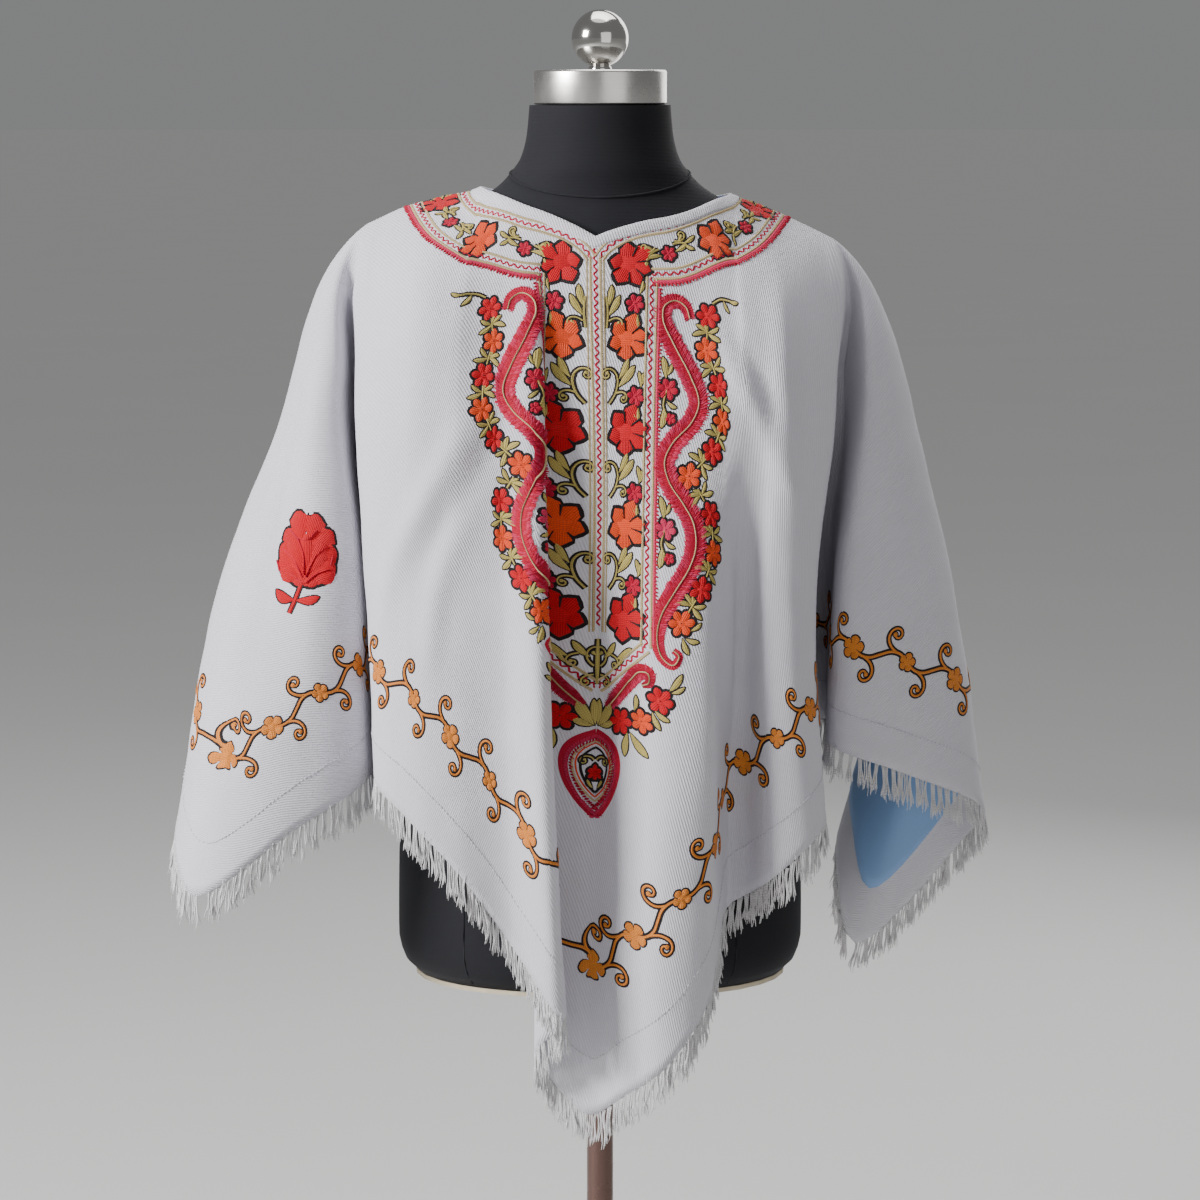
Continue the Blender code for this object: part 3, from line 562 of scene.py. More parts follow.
def gathered_height(flats):
    """How far each flat point lies above or below the smooth cloth."""
    height = np.array(
        [sum(size * noise.noise((p * scale, q * scale, seed)) for size, scale, seed in WRINKLES) for p, q in flats]
    )
    for crease in CREASES:
        path = np.array(crease.path, float) * MM
        nearest = np.full(len(flats), 1e9)
        fade = np.zeros(len(flats))
        passed = passed_along(path)
        for start, end, before, length in zip(path[:-1], path[1:], passed, np.diff(passed)):
            t = np.clip(((flats - start) @ (end - start)) / length**2, 0, 1)
            away = np.linalg.norm(flats - (start + t[:, None] * (end - start)), axis=1)
            closer = away < nearest
            nearest = np.where(closer, away, nearest)
            share = np.clip((before + t * length) / passed[-1], 0.02, 0.98)
            fade = np.where(closer, np.sin(np.pi * share) ** 0.7, fade)
        height -= crease.depth * MM * fade * np.exp(-((nearest / (crease.half_width * MM)) ** 2))
    return height


class Cloth:
    """The middle layer of the garment on a fine welded grid, with one normal at each point."""

    def __init__(self):
        self.lines = fold_lines()
        self.columns = len(self.lines)
        self.rows = ROWS_ABOVE + ROWS_BELOW
        self.ids = np.zeros((self.columns, self.rows + 1), int)
        points, flats, known = [], [], {}
        for column, line in enumerate(self.lines):
            worn, flat = hang(line, self.row_shares(line))
            for row in range(self.rows + 1):
                key = (column, row)
                if row == 0 and abs(line.top) > NECK_RADIUS - MM:
                    key = ("shoulder", round(line.top / MM, 1))
                if key not in known:
                    known[key] = len(points)
                    points.append(worn[row])
                    flats.append(flat[row])
                self.ids[column, row] = known[key]
        self.points = np.array(points)
        self.flats = np.array(flats)
        self.faces = self.faces_between(0, self.rows)
        normals = self.point_normals()
        fade = np.clip((np.linalg.norm(self.flats, axis=1) - CREASES_FROM) / CREASES_FADE, 0, 1)
        self.points += normals * (gathered_height(self.flats) * fade)[:, None]
        self.points = pushed_out(self.points, CLEAR_OF_FORM)
        self.normals = self.point_normals()
        self.outside = self.points + self.normals * OUTSIDE
        self.plan = BVHTree.FromPolygons([(p, q, 0.0) for p, q in self.flats], self.faces.tolist())

    def row_shares(self, line):
        """Rows close together at the top, with one of them on the lining's edge."""
        top = top_point_flat(line.top, line.facing)
        margin = LINING_MARGIN / ((HALF_DIAGONAL - abs(top[0]) - abs(top[1])) / math.sqrt(2))
        above = (np.arange(ROWS_ABOVE + 1) / ROWS_ABOVE) ** ROW_CROWDING * (1 - margin)
        below = 1 - margin + margin * np.arange(1, ROWS_BELOW + 1) / ROWS_BELOW
        return np.concatenate([above, below])

    def faces_between(self, first, last):
        """Triangles between two rows, without those that the welded shoulder has closed up."""
        near, far = self.ids, np.roll(self.ids, -1, axis=0)
        now, after = slice(first, last), slice(first + 1, last + 1)
        upper = np.stack([near[:, now], far[:, now], far[:, after]], axis=-1)
        lower = np.stack([near[:, now], far[:, after], near[:, after]], axis=-1)
        faces = np.stack([upper, lower], axis=2).reshape(-1, 3)
        return faces[(faces != np.roll(faces, 1, axis=1)).all(axis=1)]

    def point_normals(self):
        a, b, c = (self.points[self.faces[:, k]] for k in range(3))
        turned = np.cross(b - a, c - a)
        normals = np.zeros_like(self.points)
        for k in range(3):
            np.add.at(normals, self.faces[:, k], turned)
        return unit_length(normals)

    def worn(self, flat_points, lifts):
        """Points of the flat cut, in metres, carried onto the outside of the worn cloth, with normals."""
        places, normals = [], []
        for (p, q), lift in zip(flat_points, lifts):
            hit, _, index, _ = self.plan.find_nearest(Vector((p, q, 0.0)))
            corners = self.faces[index]
            start, right, left = self.flats[corners]
            right, left, here = right - start, left - start, (hit.x - start[0], hit.y - start[1])
            whole = right[0] * left[1] - left[0] * right[1]
            s = (here[0] * left[1] - left[0] * here[1]) / whole
            t = (right[0] * here[1] - here[0] * right[1]) / whole
            shares = np.array([1 - s - t, s, t])
            normal = unit_length(shares @ self.normals[corners])
            places.append(shares @ self.outside[corners] + normal * lift)
            normals.append(normal)
        return np.array(places), np.array(normals)


MADE = {}


def cloth():
    """The hung cloth, which is made once."""
    if "cloth" not in MADE:
        MADE["cloth"] = Cloth()
    return MADE["cloth"]


def shell_object():
    """The wool, a closed wall outside the middle layer."""
    c = cloth()
    return wall_object("poncho_shell", c.points, c.normals, c.faces.tolist(), c.flats, OUTSIDE, LAYER_GAP / 2)


def lining_object():
    """The lining follows the shell inside, and stops short of the hem."""
    c = cloth()
    faces = c.faces_between(0, ROWS_ABOVE)
    used, renumbered = np.unique(faces, return_inverse=True)
    faces = renumbered.reshape(-1, 3).tolist()
    outer = -LAYER_GAP / 2
    return wall_object(
        "poncho_lining", c.points[used], c.normals[used], faces, c.flats[used], outer, outer - LINING_WALL
    )


# Section of the neck edge: distance out from the cut, and height above the shell
NECK_EDGE = [
    (0.0, -0.0016), (-0.0004, 0.0004), (0.0006, 0.0012), (0.004, 0.0014), (0.0085, 0.0013), (0.0104, 0.0008),
    (0.0108, 0.0),
]


def neck_edge_object():
    """The turned and pressed neck edge, a rounded band on the shell."""
    c = cloth()
    on_edge = {(round(line.top, 6), line.facing) for line in c.lines if abs(line.top) < NECK_RADIUS + 0.1 * MM}
    back, front = (sorted(top for top, facing in on_edge if facing == way) for way in (-1, 1))
    ring = [(top, -1) for top in back] + [(top, 1) for top in front[::-1][1:-1]]
    points, uvs = [], []
    for top, facing in ring:
        flat = top_point_flat(top, facing)
        flats = [flat + unit_length(flat) * max(step, 0.0002) for step, _ in NECK_EDGE]
        places, _ = c.worn(flats, [height for _, height in NECK_EDGE])
        places[1] -= unit_length(places[3] - places[2]) * 0.0004
        points += list(places)
        uvs += flats
    faces = grid_faces(len(ring), len(NECK_EDGE), looped=True, turned=True)
    return mesh_object("poncho_neck_edge", points, faces, uvs)


# ---- materials ----


# Metres from one band to the next in a band texture of scale 1
BANDS_SCALE = 0.314
TWILL_ANGLE = math.radians(18)


def nodes_of(name, colour, roughness, **sockets):
    """A Principled material and handles for adding its pattern nodes."""
    made = bpy.data.materials.new(name)
    made.use_nodes = True
    tree = made.node_tree
    shader = tree.nodes["Principled BSDF"]
    values = {"Base Color": (*colour, 1.0), "Roughness": roughness, **sockets}
    for socket, value in values.items():
        shader.inputs[socket.replace("_", " ")].default_value = value
    return made, tree, shader


def add_node(tree, kind, inputs=(), **settings):
    """A node with its settings, and its inputs set to values or linked from sockets."""
    node = tree.nodes.new(kind)
    for key, value in settings.items():
        setattr(node, key, value)
    for key, value in dict(inputs).items():
        if isinstance(value, bpy.types.NodeSocket):
            tree.links.new(value, node.inputs[key])
        else:
            node.inputs[key].default_value = value
    return node


def combined(tree, operation, first, second):
    """A Math node's result for two sockets or numbers."""
    return add_node(tree, "ShaderNodeMath", {0: first, 1: second}, operation=operation).outputs[0]


def object_place(tree, scale=None):
    """Object coordinates, stretched if a scale is given."""
    where = add_node(tree, "ShaderNodeTexCoord").outputs["Object"]
    if scale is None:
        return where
    return add_node(tree, "ShaderNodeMapping", {"Vector": where, "Scale": scale}).outputs["Vector"]


def cloudy(tree, where, scale, detail=4.0):
    """Soft noise from 0 to 1."""
    return add_node(tree, "ShaderNodeTexNoise", {"Vector": where, "Scale": scale, "Detail": detail}).outputs["Fac"]


def bands(tree, where, scale, direction, distortion, sockets=(), profile="SIN"):
    """Bands from 0 to 1 that follow each other along a direction."""
    inputs = {"Vector": where, "Scale": scale, "Distortion": distortion, **dict(sockets)}
    node = add_node(
        tree, "ShaderNodeTexWave", inputs, wave_type="BANDS", bands_direction=direction, wave_profile=profile
    )
    return node.outputs["Fac"]


def ranged(tree, factor, low, high):
    """A value that runs from low to high with the factor."""
    return add_node(tree, "ShaderNodeMapRange", {"Value": factor, "To Min": low, "To Max": high}).outputs["Result"]


def tinted(tree, shader, colour, factor, low, high):
    """The colour times a grey that runs from low to high with the factor."""
    grey = ranged(tree, factor, low, high)
    inputs = {"Factor": 1.0, "A": (*colour, 1.0), "B": grey}
    mix = add_node(tree, "ShaderNodeMix", inputs, data_type="RGBA", blend_type="MULTIPLY")
    tree.links.new(mix.outputs["Result"], shader.inputs["Base Color"])


def bumped(tree, shader, height, strength, distance):
    """Fine relief on the shader, from a height of 0 to 1."""
    bump = add_node(tree, "ShaderNodeBump", {"Height": height, "Strength": strength, "Distance": distance})
    tree.links.new(bump.outputs["Normal"], shader.inputs["Normal"])


def twill_cloth(name, colour, pitch, strength, sheen, roughness=0.85):
    """Fine diagonal ribs on the flat cut, with fuzz and a little uneven colour; the grooves between the ribs are
    painted darker as painted shade.
    """
    made, tree, shader = nodes_of(
        name, colour, roughness, Sheen_Weight=sheen, Sheen_Roughness=0.5, Specular_IOR_Level=0.2
    )
    flat = add_node(tree, "ShaderNodeUVMap", uv_map="flat").outputs["UV"]
    turned = add_node(tree, "ShaderNodeMapping", {"Vector": flat, "Rotation": (0, 0, TWILL_ANGLE)})
    ribs = bands(tree, turned.outputs["Vector"], BANDS_SCALE / pitch, "X", 0.6, {"Detail": 1.0})
    fuzzy = combined(tree, "ADD", ribs, cloudy(tree, flat, 520.0))
    shade = combined(tree, "ADD", fuzzy, cloudy(tree, flat, 16.0, 5.0))
    # painted shade: the colour is darker where the ribs and fuzz are low, in their grooves, and it also varies with
    # the broad noise as uneven colour
    tinted(tree, shader, colour, combined(tree, "MULTIPLY", shade, 0.333), 0.84, 1.16)
    bumped(tree, shader, fuzzy, strength, 0.0007)
    return made


def chain_thread(name, colour, pitch=0.0022):
    """Rows of chain stitch in a lightly twisted, soft thread, along the piece's own direction, with painted shade
    between the loops and rows.
    """
    made, tree, shader = nodes_of(name, colour, 0.68, Sheen_Weight=0.03, Specular_IOR_Level=0.2)
    flat = add_node(tree, "ShaderNodeUVMap", uv_map="flat").outputs["UV"]
    loops = bands(tree, flat, BANDS_SCALE / pitch, "X", 1.4, {"Detail": 1.0, "Detail Scale": 2.0}, "SAW")
    height = combined(tree, "ADD", loops, bands(tree, flat, BANDS_SCALE / (pitch * 0.75), "Y", 0.8))
    shade = combined(tree, "ADD", height, cloudy(tree, flat, 2600.0, 2.0))
    # painted shade: the thread's colour is darker where the loops and rows are low, in the grooves between them,
    # plus a little uneven colour from fine noise
    tinted(tree, shader, colour, combined(tree, "MULTIPLY", shade, 0.333), 0.55, 1.3)
    bumped(tree, shader, height, 0.8, 0.0005)
    return made


def jersey_cover(name, colour):
    """Fine knitted black cover, matt with a soft sheen."""
    made, tree, shader = nodes_of(name, colour, 0.8, Sheen_Weight=0.03, Specular_IOR_Level=0.2)
    where = object_place(tree)
    tinted(tree, shader, colour, cloudy(tree, where, 9.0), 0.7, 1.35)
    knit = bands(tree, where, 260.0, "Z", 1.0)
    bumped(tree, shader, combined(tree, "ADD", knit, cloudy(tree, where, 700.0)), 0.35, 0.0004)
    return made


def metal(name, colour, roughness, streaks, metallic=1.0):
    """Metal with faint turning marks round the pole's axis and a few soft smudges.

    streaks holds how much they change the colour and how strong their relief is.
    """
    made, tree, shader = nodes_of(name, colour, roughness, Metallic=metallic)
    lines = cloudy(tree, object_place(tree, (3.0, 3.0, 900.0)), 1.0, 3.0)
    smudges = ranged(tree, cloudy(tree, object_place(tree), 38.0), roughness * 0.7, roughness * 1.5)
    tree.links.new(smudges, shader.inputs["Roughness"])
    tinted(tree, shader, colour, lines, 1 - streaks[0], 1 + streaks[0])
    bumped(tree, shader, lines, streaks[1], 0.0002)
    return made


def pale_board(name, colour):
    """Plain board with a long grain along X."""
    made, tree, shader = nodes_of(name, colour, 0.7)
    grain = cloudy(tree, object_place(tree, (6.0, 90.0, 90.0)), 1.0, 6.0)
    tinted(tree, shader, colour, grain, 0.75, 1.2)
    bumped(tree, shader, grain, 0.2, 0.0004)
    return made


def yarn_material(name, colour):
    """Loose twisted yarn, with painted shade in the grooves of its twist and a little uneven colour."""
    made, tree, shader = nodes_of(name, colour, 0.9, Sheen_Weight=0.3)
    where = object_place(tree)
    twist = bands(tree, where, 260.0, "DIAGONAL", 3.0)
    # painted shade: the colour is darker in the grooves of the twist, multiplied by uneven colour from noise
    tinted(tree, shader, colour, combined(tree, "MULTIPLY", twist, cloudy(tree, where, 120.0)), 0.72, 1.25)
    bumped(tree, shader, twist, 0.4, 0.0003)
    return made


# ---- copies along a path, with geometry nodes ----


PIECES = ("Piece A", "Piece B", "Piece C")


def copies_tree(name, material):
    """A node tree that stands a copy of the given pieces on each point of the input mesh.

    The points carry the attributes along, out and size. A copy's X axis is turned along, its Z axis out.
    """
    tree = bpy.data.node_groups.new(name, "GeometryNodeTree")
    sockets = {"Points": "Geometry", **dict.fromkeys(PIECES, "Object"), "Size Spread": "Float", "Sway": "Float"}
    for label, kind in sockets.items():
        tree.interface.new_socket(label, in_out="INPUT", socket_type="NodeSocket" + kind)
    tree.interface.new_socket("Mesh", in_out="OUTPUT", socket_type="NodeSocketGeometry")
    given = tree.nodes.new("NodeGroupInput").outputs
    joined = tree.nodes.new("GeometryNodeJoinGeometry")
    for piece in reversed(PIECES):
        info = add_node(tree, "GeometryNodeObjectInfo", {"As Instance": True, "Object": given[piece]})
        tree.links.new(info.outputs["Geometry"], joined.inputs["Geometry"])
    along, out, size = (
        add_node(tree, "GeometryNodeInputNamedAttribute", {"Name": label}, data_type=kind).outputs["Attribute"]
        for label, kind in (("along", "FLOAT_VECTOR"), ("out", "FLOAT_VECTOR"), ("size", "FLOAT"))
    )
    align = "FunctionNodeAlignRotationToVector"
    upright = add_node(tree, align, {"Vector": out}, axis="Z", pivot_axis="AUTO").outputs["Rotation"]
    turned = add_node(tree, align, {"Rotation": upright, "Vector": along}, axis="X", pivot_axis="Z")
    spread, sway = given["Size Spread"], given["Sway"]
    pick = add_node(tree, "FunctionNodeRandomValue", {"Seed": 5, 4: 0, 5: len(PIECES) - 1}, data_type="INT")
    less, more = combined(tree, "SUBTRACT", 1.0, spread), combined(tree, "ADD", 1.0, spread)
    grow = add_node(tree, "FunctionNodeRandomValue", {"Seed": 11, 2: less, 3: more}, data_type="FLOAT")
    placed = {
        "Points": given["Points"],
        "Instance": joined.outputs["Geometry"],
        "Pick Instance": True,
        "Instance Index": pick.outputs[2],
        "Rotation": turned.outputs["Rotation"],
        "Scale": combined(tree, "MULTIPLY", grow.outputs[1], size),
    }
    stand = add_node(tree, "GeometryNodeInstanceOnPoints", placed)
    back = combined(tree, "MULTIPLY", sway, -1.0)
    lean = add_node(tree, "FunctionNodeRandomValue", {"Seed": 23, 0: back, 1: sway}, data_type="FLOAT_VECTOR")
    leaning = {"Instances": stand.outputs["Instances"], "Rotation": lean.outputs[0]}
    turn = add_node(tree, "GeometryNodeRotateInstances", leaning)
    real = add_node(tree, "GeometryNodeRealizeInstances", {"Geometry": turn.outputs["Instances"]})
    smooth = add_node(tree, "GeometryNodeSetShadeSmooth", {"Geometry": real.outputs["Geometry"]})
    dressing = {"Geometry": smooth.outputs["Geometry"], "Material": material}
    looks = add_node(tree, "GeometryNodeSetMaterial", dressing)
    tree.links.new(looks.outputs["Geometry"], tree.nodes.new("NodeGroupOutput").inputs["Mesh"])
    return tree


def copies_object(name, places, along, out, sizes, variants, material, size_spread, sway):
    """One plain mesh of turned copies of three small pieces, one for each place."""
    mesh = bpy.data.meshes.new(name + "_points")
    mesh.from_pydata(np.asarray(places, float).tolist(), [], [])
    for attribute, kind, values in (("along", "vector", along), ("out", "vector", out), ("size", "value", sizes)):
        layer = mesh.attributes.new(attribute, "FLOAT_VECTOR" if kind == "vector" else "FLOAT", "POINT")
        layer.data.foreach_set(kind, np.asarray(values, float).ravel())
    points = linked(name + "_points", mesh)
    tree = copies_tree(name + "_copies", material)
    modifier = points.modifiers.new("copies", "NODES")
    modifier.node_group = tree
    values = {**dict(zip(PIECES, variants)), "Size Spread": size_spread, "Sway": sway}
    for item in tree.interface.items_tree:
        if item.item_type == "SOCKET" and item.in_out == "INPUT" and item.name in values:
            modifier[item.identifier] = values[item.name]
    points.update_tag()
    depsgraph = bpy.context.evaluated_depsgraph_get()
    result = bpy.data.meshes.new_from_object(points.evaluated_get(depsgraph))
    result.name = name
    made = linked(name, result)
    if not result.materials:
        result.materials.append(material)
    for spent in (points, *variants):
        bpy.data.objects.remove(spent)
    return made


# ---- the fringe ----


# Each lock of the fringe: its yarn ends, their lengths from root to tip and their sides
LOCK_STRANDS = 9
LOCK_STEPS = 6
LOCK_SIDES = 4


def yarn_lock(name, seed, length):
    """A small group of loose yarn ends that hang along -Z from a common root and fray at their tips."""
    dice = random.Random(seed)
    points, faces = [], []
    for _ in range(LOCK_STRANDS):
        root = Vector((dice.uniform(-0.0042, 0.0042), dice.uniform(-0.0004, 0.0004), 0.0015))
        drift = Vector((dice.gauss(0, 0.0016), dice.gauss(0, 0.0010), 0))
        wave = dice.uniform(0, 6.28)
        swing = dice.uniform(0.0004, 0.0011)
        own = length * dice.uniform(0.82, 1.06)
        radius = dice.uniform(0.00042, 0.00062)
        faces += solid_faces(LOCK_STEPS + 1, LOCK_SIDES, len(points), turned=True)
        for k in range(LOCK_STEPS + 1):
            t = k / LOCK_STEPS
            gather = 1 - 0.42 * math.sin(math.pi * min(t * 1.25, 1))
            centre = Vector((root.x * gather, root.y, root.z - own * t)) + drift * t * t
            centre.x += swing * math.sin(wave + t * 5.2) * t
            centre.y += swing * math.cos(wave + t * 4.1) * t
            thick = radius * (1.0 if k < LOCK_STEPS else 0.45) * (1 + 0.25 * math.sin(wave + k * 2.1))
            for side in range(LOCK_SIDES):
                turn = 2 * math.pi * side / LOCK_SIDES + t * 2.4
                points.append(centre + Vector((math.cos(turn), math.sin(turn), 0)) * thick)
    return mesh_object(name, points, faces)


def fringe_object(name, side, material, length, pitch):
    """One side's fringe: locks of yarn on the hem, hanging from the edge of the shell."""
    c = cloth()
    first, last = side * EDGE, (side + 1) * EDGE
    columns = [k for k in range(c.columns) if first - 1e-6 <= c.lines[k].run <= last + 1e-6]
    if side == len(FRINGE_SIDES) - 1:
        columns.append(0)
    middle = (LAYER_GAP + SHELL_WALL) / 2
    hem, above = (c.points[c.ids[columns, row]] + c.normals[c.ids[columns, row]] * middle for row in (-1, -3))
    passed = passed_along(hem)
    count = max(2, round(passed[-1] / pitch))
    wanted = np.linspace(pitch * 0.5, passed[-1] - pitch * 0.5, count)
    places, higher = (read_at(wanted, passed, rows) for rows in (hem, above))
    down = unit_length(unit_length(places - higher) * 0.55 + np.array([0.0, 0.0, -0.75]))
    along = np.gradient(places, axis=0)
    variants = [yarn_lock(f"{name}_lock_{k}", 7 + k, length) for k in range(len(PIECES))]
    return copies_object(name, places, along, -down, np.ones(count), variants, material, 0.12, 0.10)


# ---- the form and its stand ----

POLE_DIAMETER = 0.025
BASE_DIAMETER = 0.360
BASE_THICKNESS = 0.012
CAP_DIAMETER = 0.120
CAP_HEIGHT = 0.031
BALL_DIAMETER = 0.051
TOUCH = 0.0003
BRIDGE_FROM, BRIDGE_TO = 1.330, 1.450
SHOULDER_BRIDGE = 0.0051
COVER_SIDES = 128
RIM_STEPS = 4
BALL_FOOT_RADIUS = 0.0105
COLLAR_RADIUS = 0.034
COLLAR_TOP_RADIUS = 0.020
COLLAR_BAND = 0.0105
COLLAR_HEIGHT = 0.030


def torso_ring(z, turns, wider):
    """Points of the torso at a height and at the given turns, moved out by wider."""
    half_width, half_depth, y, squareness = torso_section(z)
    across, along = (np.sign(way) * np.abs(way) ** (2 / squareness) for way in (np.cos(turns), np.sin(turns)))
    x = (half_width + wider) * across
    return np.stack(np.broadcast_arrays(x, (half_depth + wider) * along + y, z), axis=-1)


def bridge_at(z):
    """How much lower the form lies under the bridging cloth at this height."""
    return -SHOULDER_BRIDGE * np.clip(np.minimum(z - BRIDGE_FROM, BRIDGE_TO - z) / 0.02, 0.0, 1.0)


def torso_object():
    """The body and the neck of the form, in their cover."""
    levels = np.concatenate([np.linspace(TORSO_BOTTOM, 1.30, 60), np.linspace(1.306, NECK_TOP, 50)])
    turns = 2 * math.pi * np.arange(COVER_SIDES) / COVER_SIDES
    points = np.concatenate([torso_ring(z, turns, bridge_at(z)) for z in levels])
    made = mesh_object("covered_form", points, solid_faces(len(levels), COVER_SIDES))
    made.data.set_sharp_from_angle(angle=math.radians(60))
    return made


def seam_objects():
    """A welt round the foot of the neck and four upright seams on the body."""
    turns = np.linspace(0, 2 * math.pi, 120, endpoint=False)
    z = 1.446 - 0.020 * np.maximum(-np.sin(turns), 0.0) ** 1.5 + 0.010 * np.maximum(np.sin(turns), 0.0)
    welt = torso_ring(z, turns, bridge_at(z) + 0.0006)
    seams = [tube_object("neck_seam", welt, 0.0011, closed=True)]
    heights = np.linspace(TORSO_BOTTOM + 0.004, 1.28, 50)
    for k, angle in enumerate((52, 128, 232, 308), 1):
        path = torso_ring(heights, math.radians(angle), 0.0)
        seams.append(tube_object(f"body_seam_{k}", path, 0.0008, sides=6))
    return seams


def rounded(radius, low, high, edge):
    """Radius and height pairs of a disc with rounded rims."""
    turns = [math.pi / 2 * k / RIM_STEPS for k in range(RIM_STEPS + 1)]
    lower = [(radius - edge + edge * math.sin(turn), low + edge - edge * math.cos(turn)) for turn in turns]
    upper = [(radius - edge + edge * math.cos(turn), high - edge + edge * math.sin(turn)) for turn in turns]
    return lower + upper


def stand_profiles():
    """Radius and height pairs of each turned piece, by the node that it replaces."""
    cap_bottom = NECK_TOP + TOUCH
    cap_top = cap_bottom + CAP_HEIGHT
    ball_radius = BALL_DIAMETER / 2
    ball_bottom = cap_top + TOUCH
    centre = ball_bottom + 0.002 + ball_radius
    start = math.asin(0.009 / ball_radius)
    ball = [(BALL_FOOT_RADIUS, ball_bottom), (BALL_FOOT_RADIUS, ball_bottom + 0.0012)]
    for k in range(33):
        turn = start + (math.pi * 0.992 - start) * k / 32
        ball.append((ball_radius * math.sin(turn), centre - ball_radius * math.cos(turn)))
    foot = BASE_THICKNESS + TOUCH
    waist = COLLAR_RADIUS - 0.001
    collar = [(COLLAR_RADIUS - 0.0005, foot), (COLLAR_RADIUS, foot + 0.001), (COLLAR_RADIUS, foot + 0.009)]
    collar.append((waist, foot + COLLAR_BAND))
    for k in range(9):
        radius = waist - (waist - COLLAR_TOP_RADIUS) * math.sin(k / 8 * math.pi / 2)
        collar.append((radius, foot + COLLAR_BAND + (COLLAR_HEIGHT - COLLAR_BAND) * k / 8))
    pole_bottom = foot + COLLAR_HEIGHT + TOUCH
    pole_top = TORSO_BOTTOM - 0.004 - 2 * TOUCH
    return {
        "neck_cap": rounded(CAP_DIAMETER / 2, cap_bottom, cap_top, 0.0025),
        "cap_ball": ball,
        "base_disc": rounded(BASE_DIAMETER / 2, 0.0, BASE_THICKNESS, 0.004),
        "base_collar": collar,
        "pole": [(POLE_DIAMETER / 2, pole_bottom + (pole_top - pole_bottom) * k / 24) for k in range(25)],
    }


# ---- embroidery, laid out on the flat cut in millimetres ----

# The placket's middle line, in millimetres: this far aside at AXIS_FROM below the neck's middle, and
# from there straight to the front corner at AXIS_TO. Behind the neck it fades out.
AXIS_TOP = -9.0
AXIS_FROM = 119.0
AXIS_TO = 900.0
AXIS_FADE = 100.0
BORDER_INSET = 100.0
ROSE_CENTRE = np.array([-0.556, 0.040])
ROSE_RIGHT = np.array([0.17, 0.985])
ROSE_DOWN = np.array([-0.985, 0.17])


def front_place(points, side):
    """From (out from the placket, down from the middle of the neck hole) to the flat cut."""
    down = points[:, 1]
    axis = AXIS_TOP * (AXIS_TO - np.maximum(down, AXIS_FROM)) / (AXIS_TO - AXIS_FROM)
    axis = axis * np.clip((down + AXIS_FADE) / (2 * AXIS_FADE), 0, 1)
    return np.column_stack([axis + side * points[:, 0], down]) * MM


def border_place(points, side):
    """From (along one hem, in from it) to the flat cut."""
    start = hem_point_flat(side * EDGE + 1e-9)
    end = hem_point_flat((side + 1) * EDGE - 1e-9)
    ahead = (end - start) / EDGE
    inward = -unit_length(start + end)
    return start + points[:, :1] * MM * ahead + points[:, 1:] * MM * inward


def rose_place(points, side):
    """From the rose's own (right, down) to the flat cut of the wing."""
    return ROSE_CENTRE + MM * (points[:, :1] * ROSE_RIGHT + points[:, 1:] * ROSE_DOWN)


def unit(angle):
    """The direction at an angle in degrees, from out towards down."""
    return np.array([math.cos(math.radians(angle)), math.sin(math.radians(angle))])


def angle_of(way):
    """The angle of a direction, in degrees."""
    return math.degrees(math.atan2(way[1], way[0]))


# How far single stitches stand off the cloth, in metres
STITCH_LIFT = 0.0001


def dressed(made, look, node=None):
    """The piece with its material, on the part's only body, in place of the node that it replaces."""
    if look:
        made.data.materials.append(look)
    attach(made, "root")
    if node:
        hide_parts(node)
    return made


class Work:
    """Embroidery gathered by thread, laid out flat and then carried onto the worn cloth."""

    def __init__(self, place):
        self.place = place
        self.side = 1
        self.sheets = {}
        self.marks = {}
        self.dice = random.Random(3)

    def patch(self, thread, grid, lifts, uvs):
        """A sheet of thread over a grid of points, with the height of each point above the cloth."""
        points, heights, flats, faces = self.sheets.setdefault(thread, ([], [], [], []))
        rows, across = grid.shape[:2]
        faces.extend(grid_faces(rows, across, len(points)))
        shift = np.array([self.dice.random(), self.dice.random()])
        points.extend(self.place(grid.reshape(-1, 2), self.side))
        heights.extend(np.broadcast_to(lifts, (rows, across)).ravel() * MM)
        flats.extend(uvs.reshape(-1, 2) * MM + shift)

    def mark(self, thread, kind, point, angle, size):
        """A single stitch from a point along an angle."""
        ends = self.place(np.array([point, np.asarray(point) + unit(angle)]), self.side)
        self.marks.setdefault((thread, kind), []).append((ends[0], ends[1], size))

    def finish(self, name, looks, variants):
        """Every piece of the work: one mesh for each thread, and one for its stitches of each kind."""
        made = []
        for thread, (points, lifts, uvs, faces) in self.sheets.items():
            places, normals = cloth().worn(points, lifts)
            faces = np.array(faces)
            corners = [places[faces[:, k]] for k in range(4)]
            facing = np.cross(corners[2] - corners[0], corners[3] - corners[1])
            turned = (facing * normals[faces[:, 0]]).sum(axis=1) < 0
            faces[turned] = faces[turned][:, ::-1]
            piece = mesh_object(f"{name}_{thread}", places, faces.tolist(), uvs)
            made.append(dressed(piece, looks[thread]))
        for (thread, kind), marks in self.marks.items():
            places, normals = cloth().worn([m[0] for m in marks], [STITCH_LIFT] * len(marks))
            ahead, _ = cloth().worn([m[1] for m in marks], [STITCH_LIFT] * len(marks))
            sizes = [m[2] * MM for m in marks]
            pieces = [variants[kind](f"{kind}_{k}", k) for k in range(len(PIECES))]
            full_name, look = f"{name}_{thread}_{kind}", looks[thread]
            piece = copies_object(full_name, places, ahead - places, normals, sizes, pieces, look, 0.12, 0.07)
            made.append(dressed(piece, None))
        return made


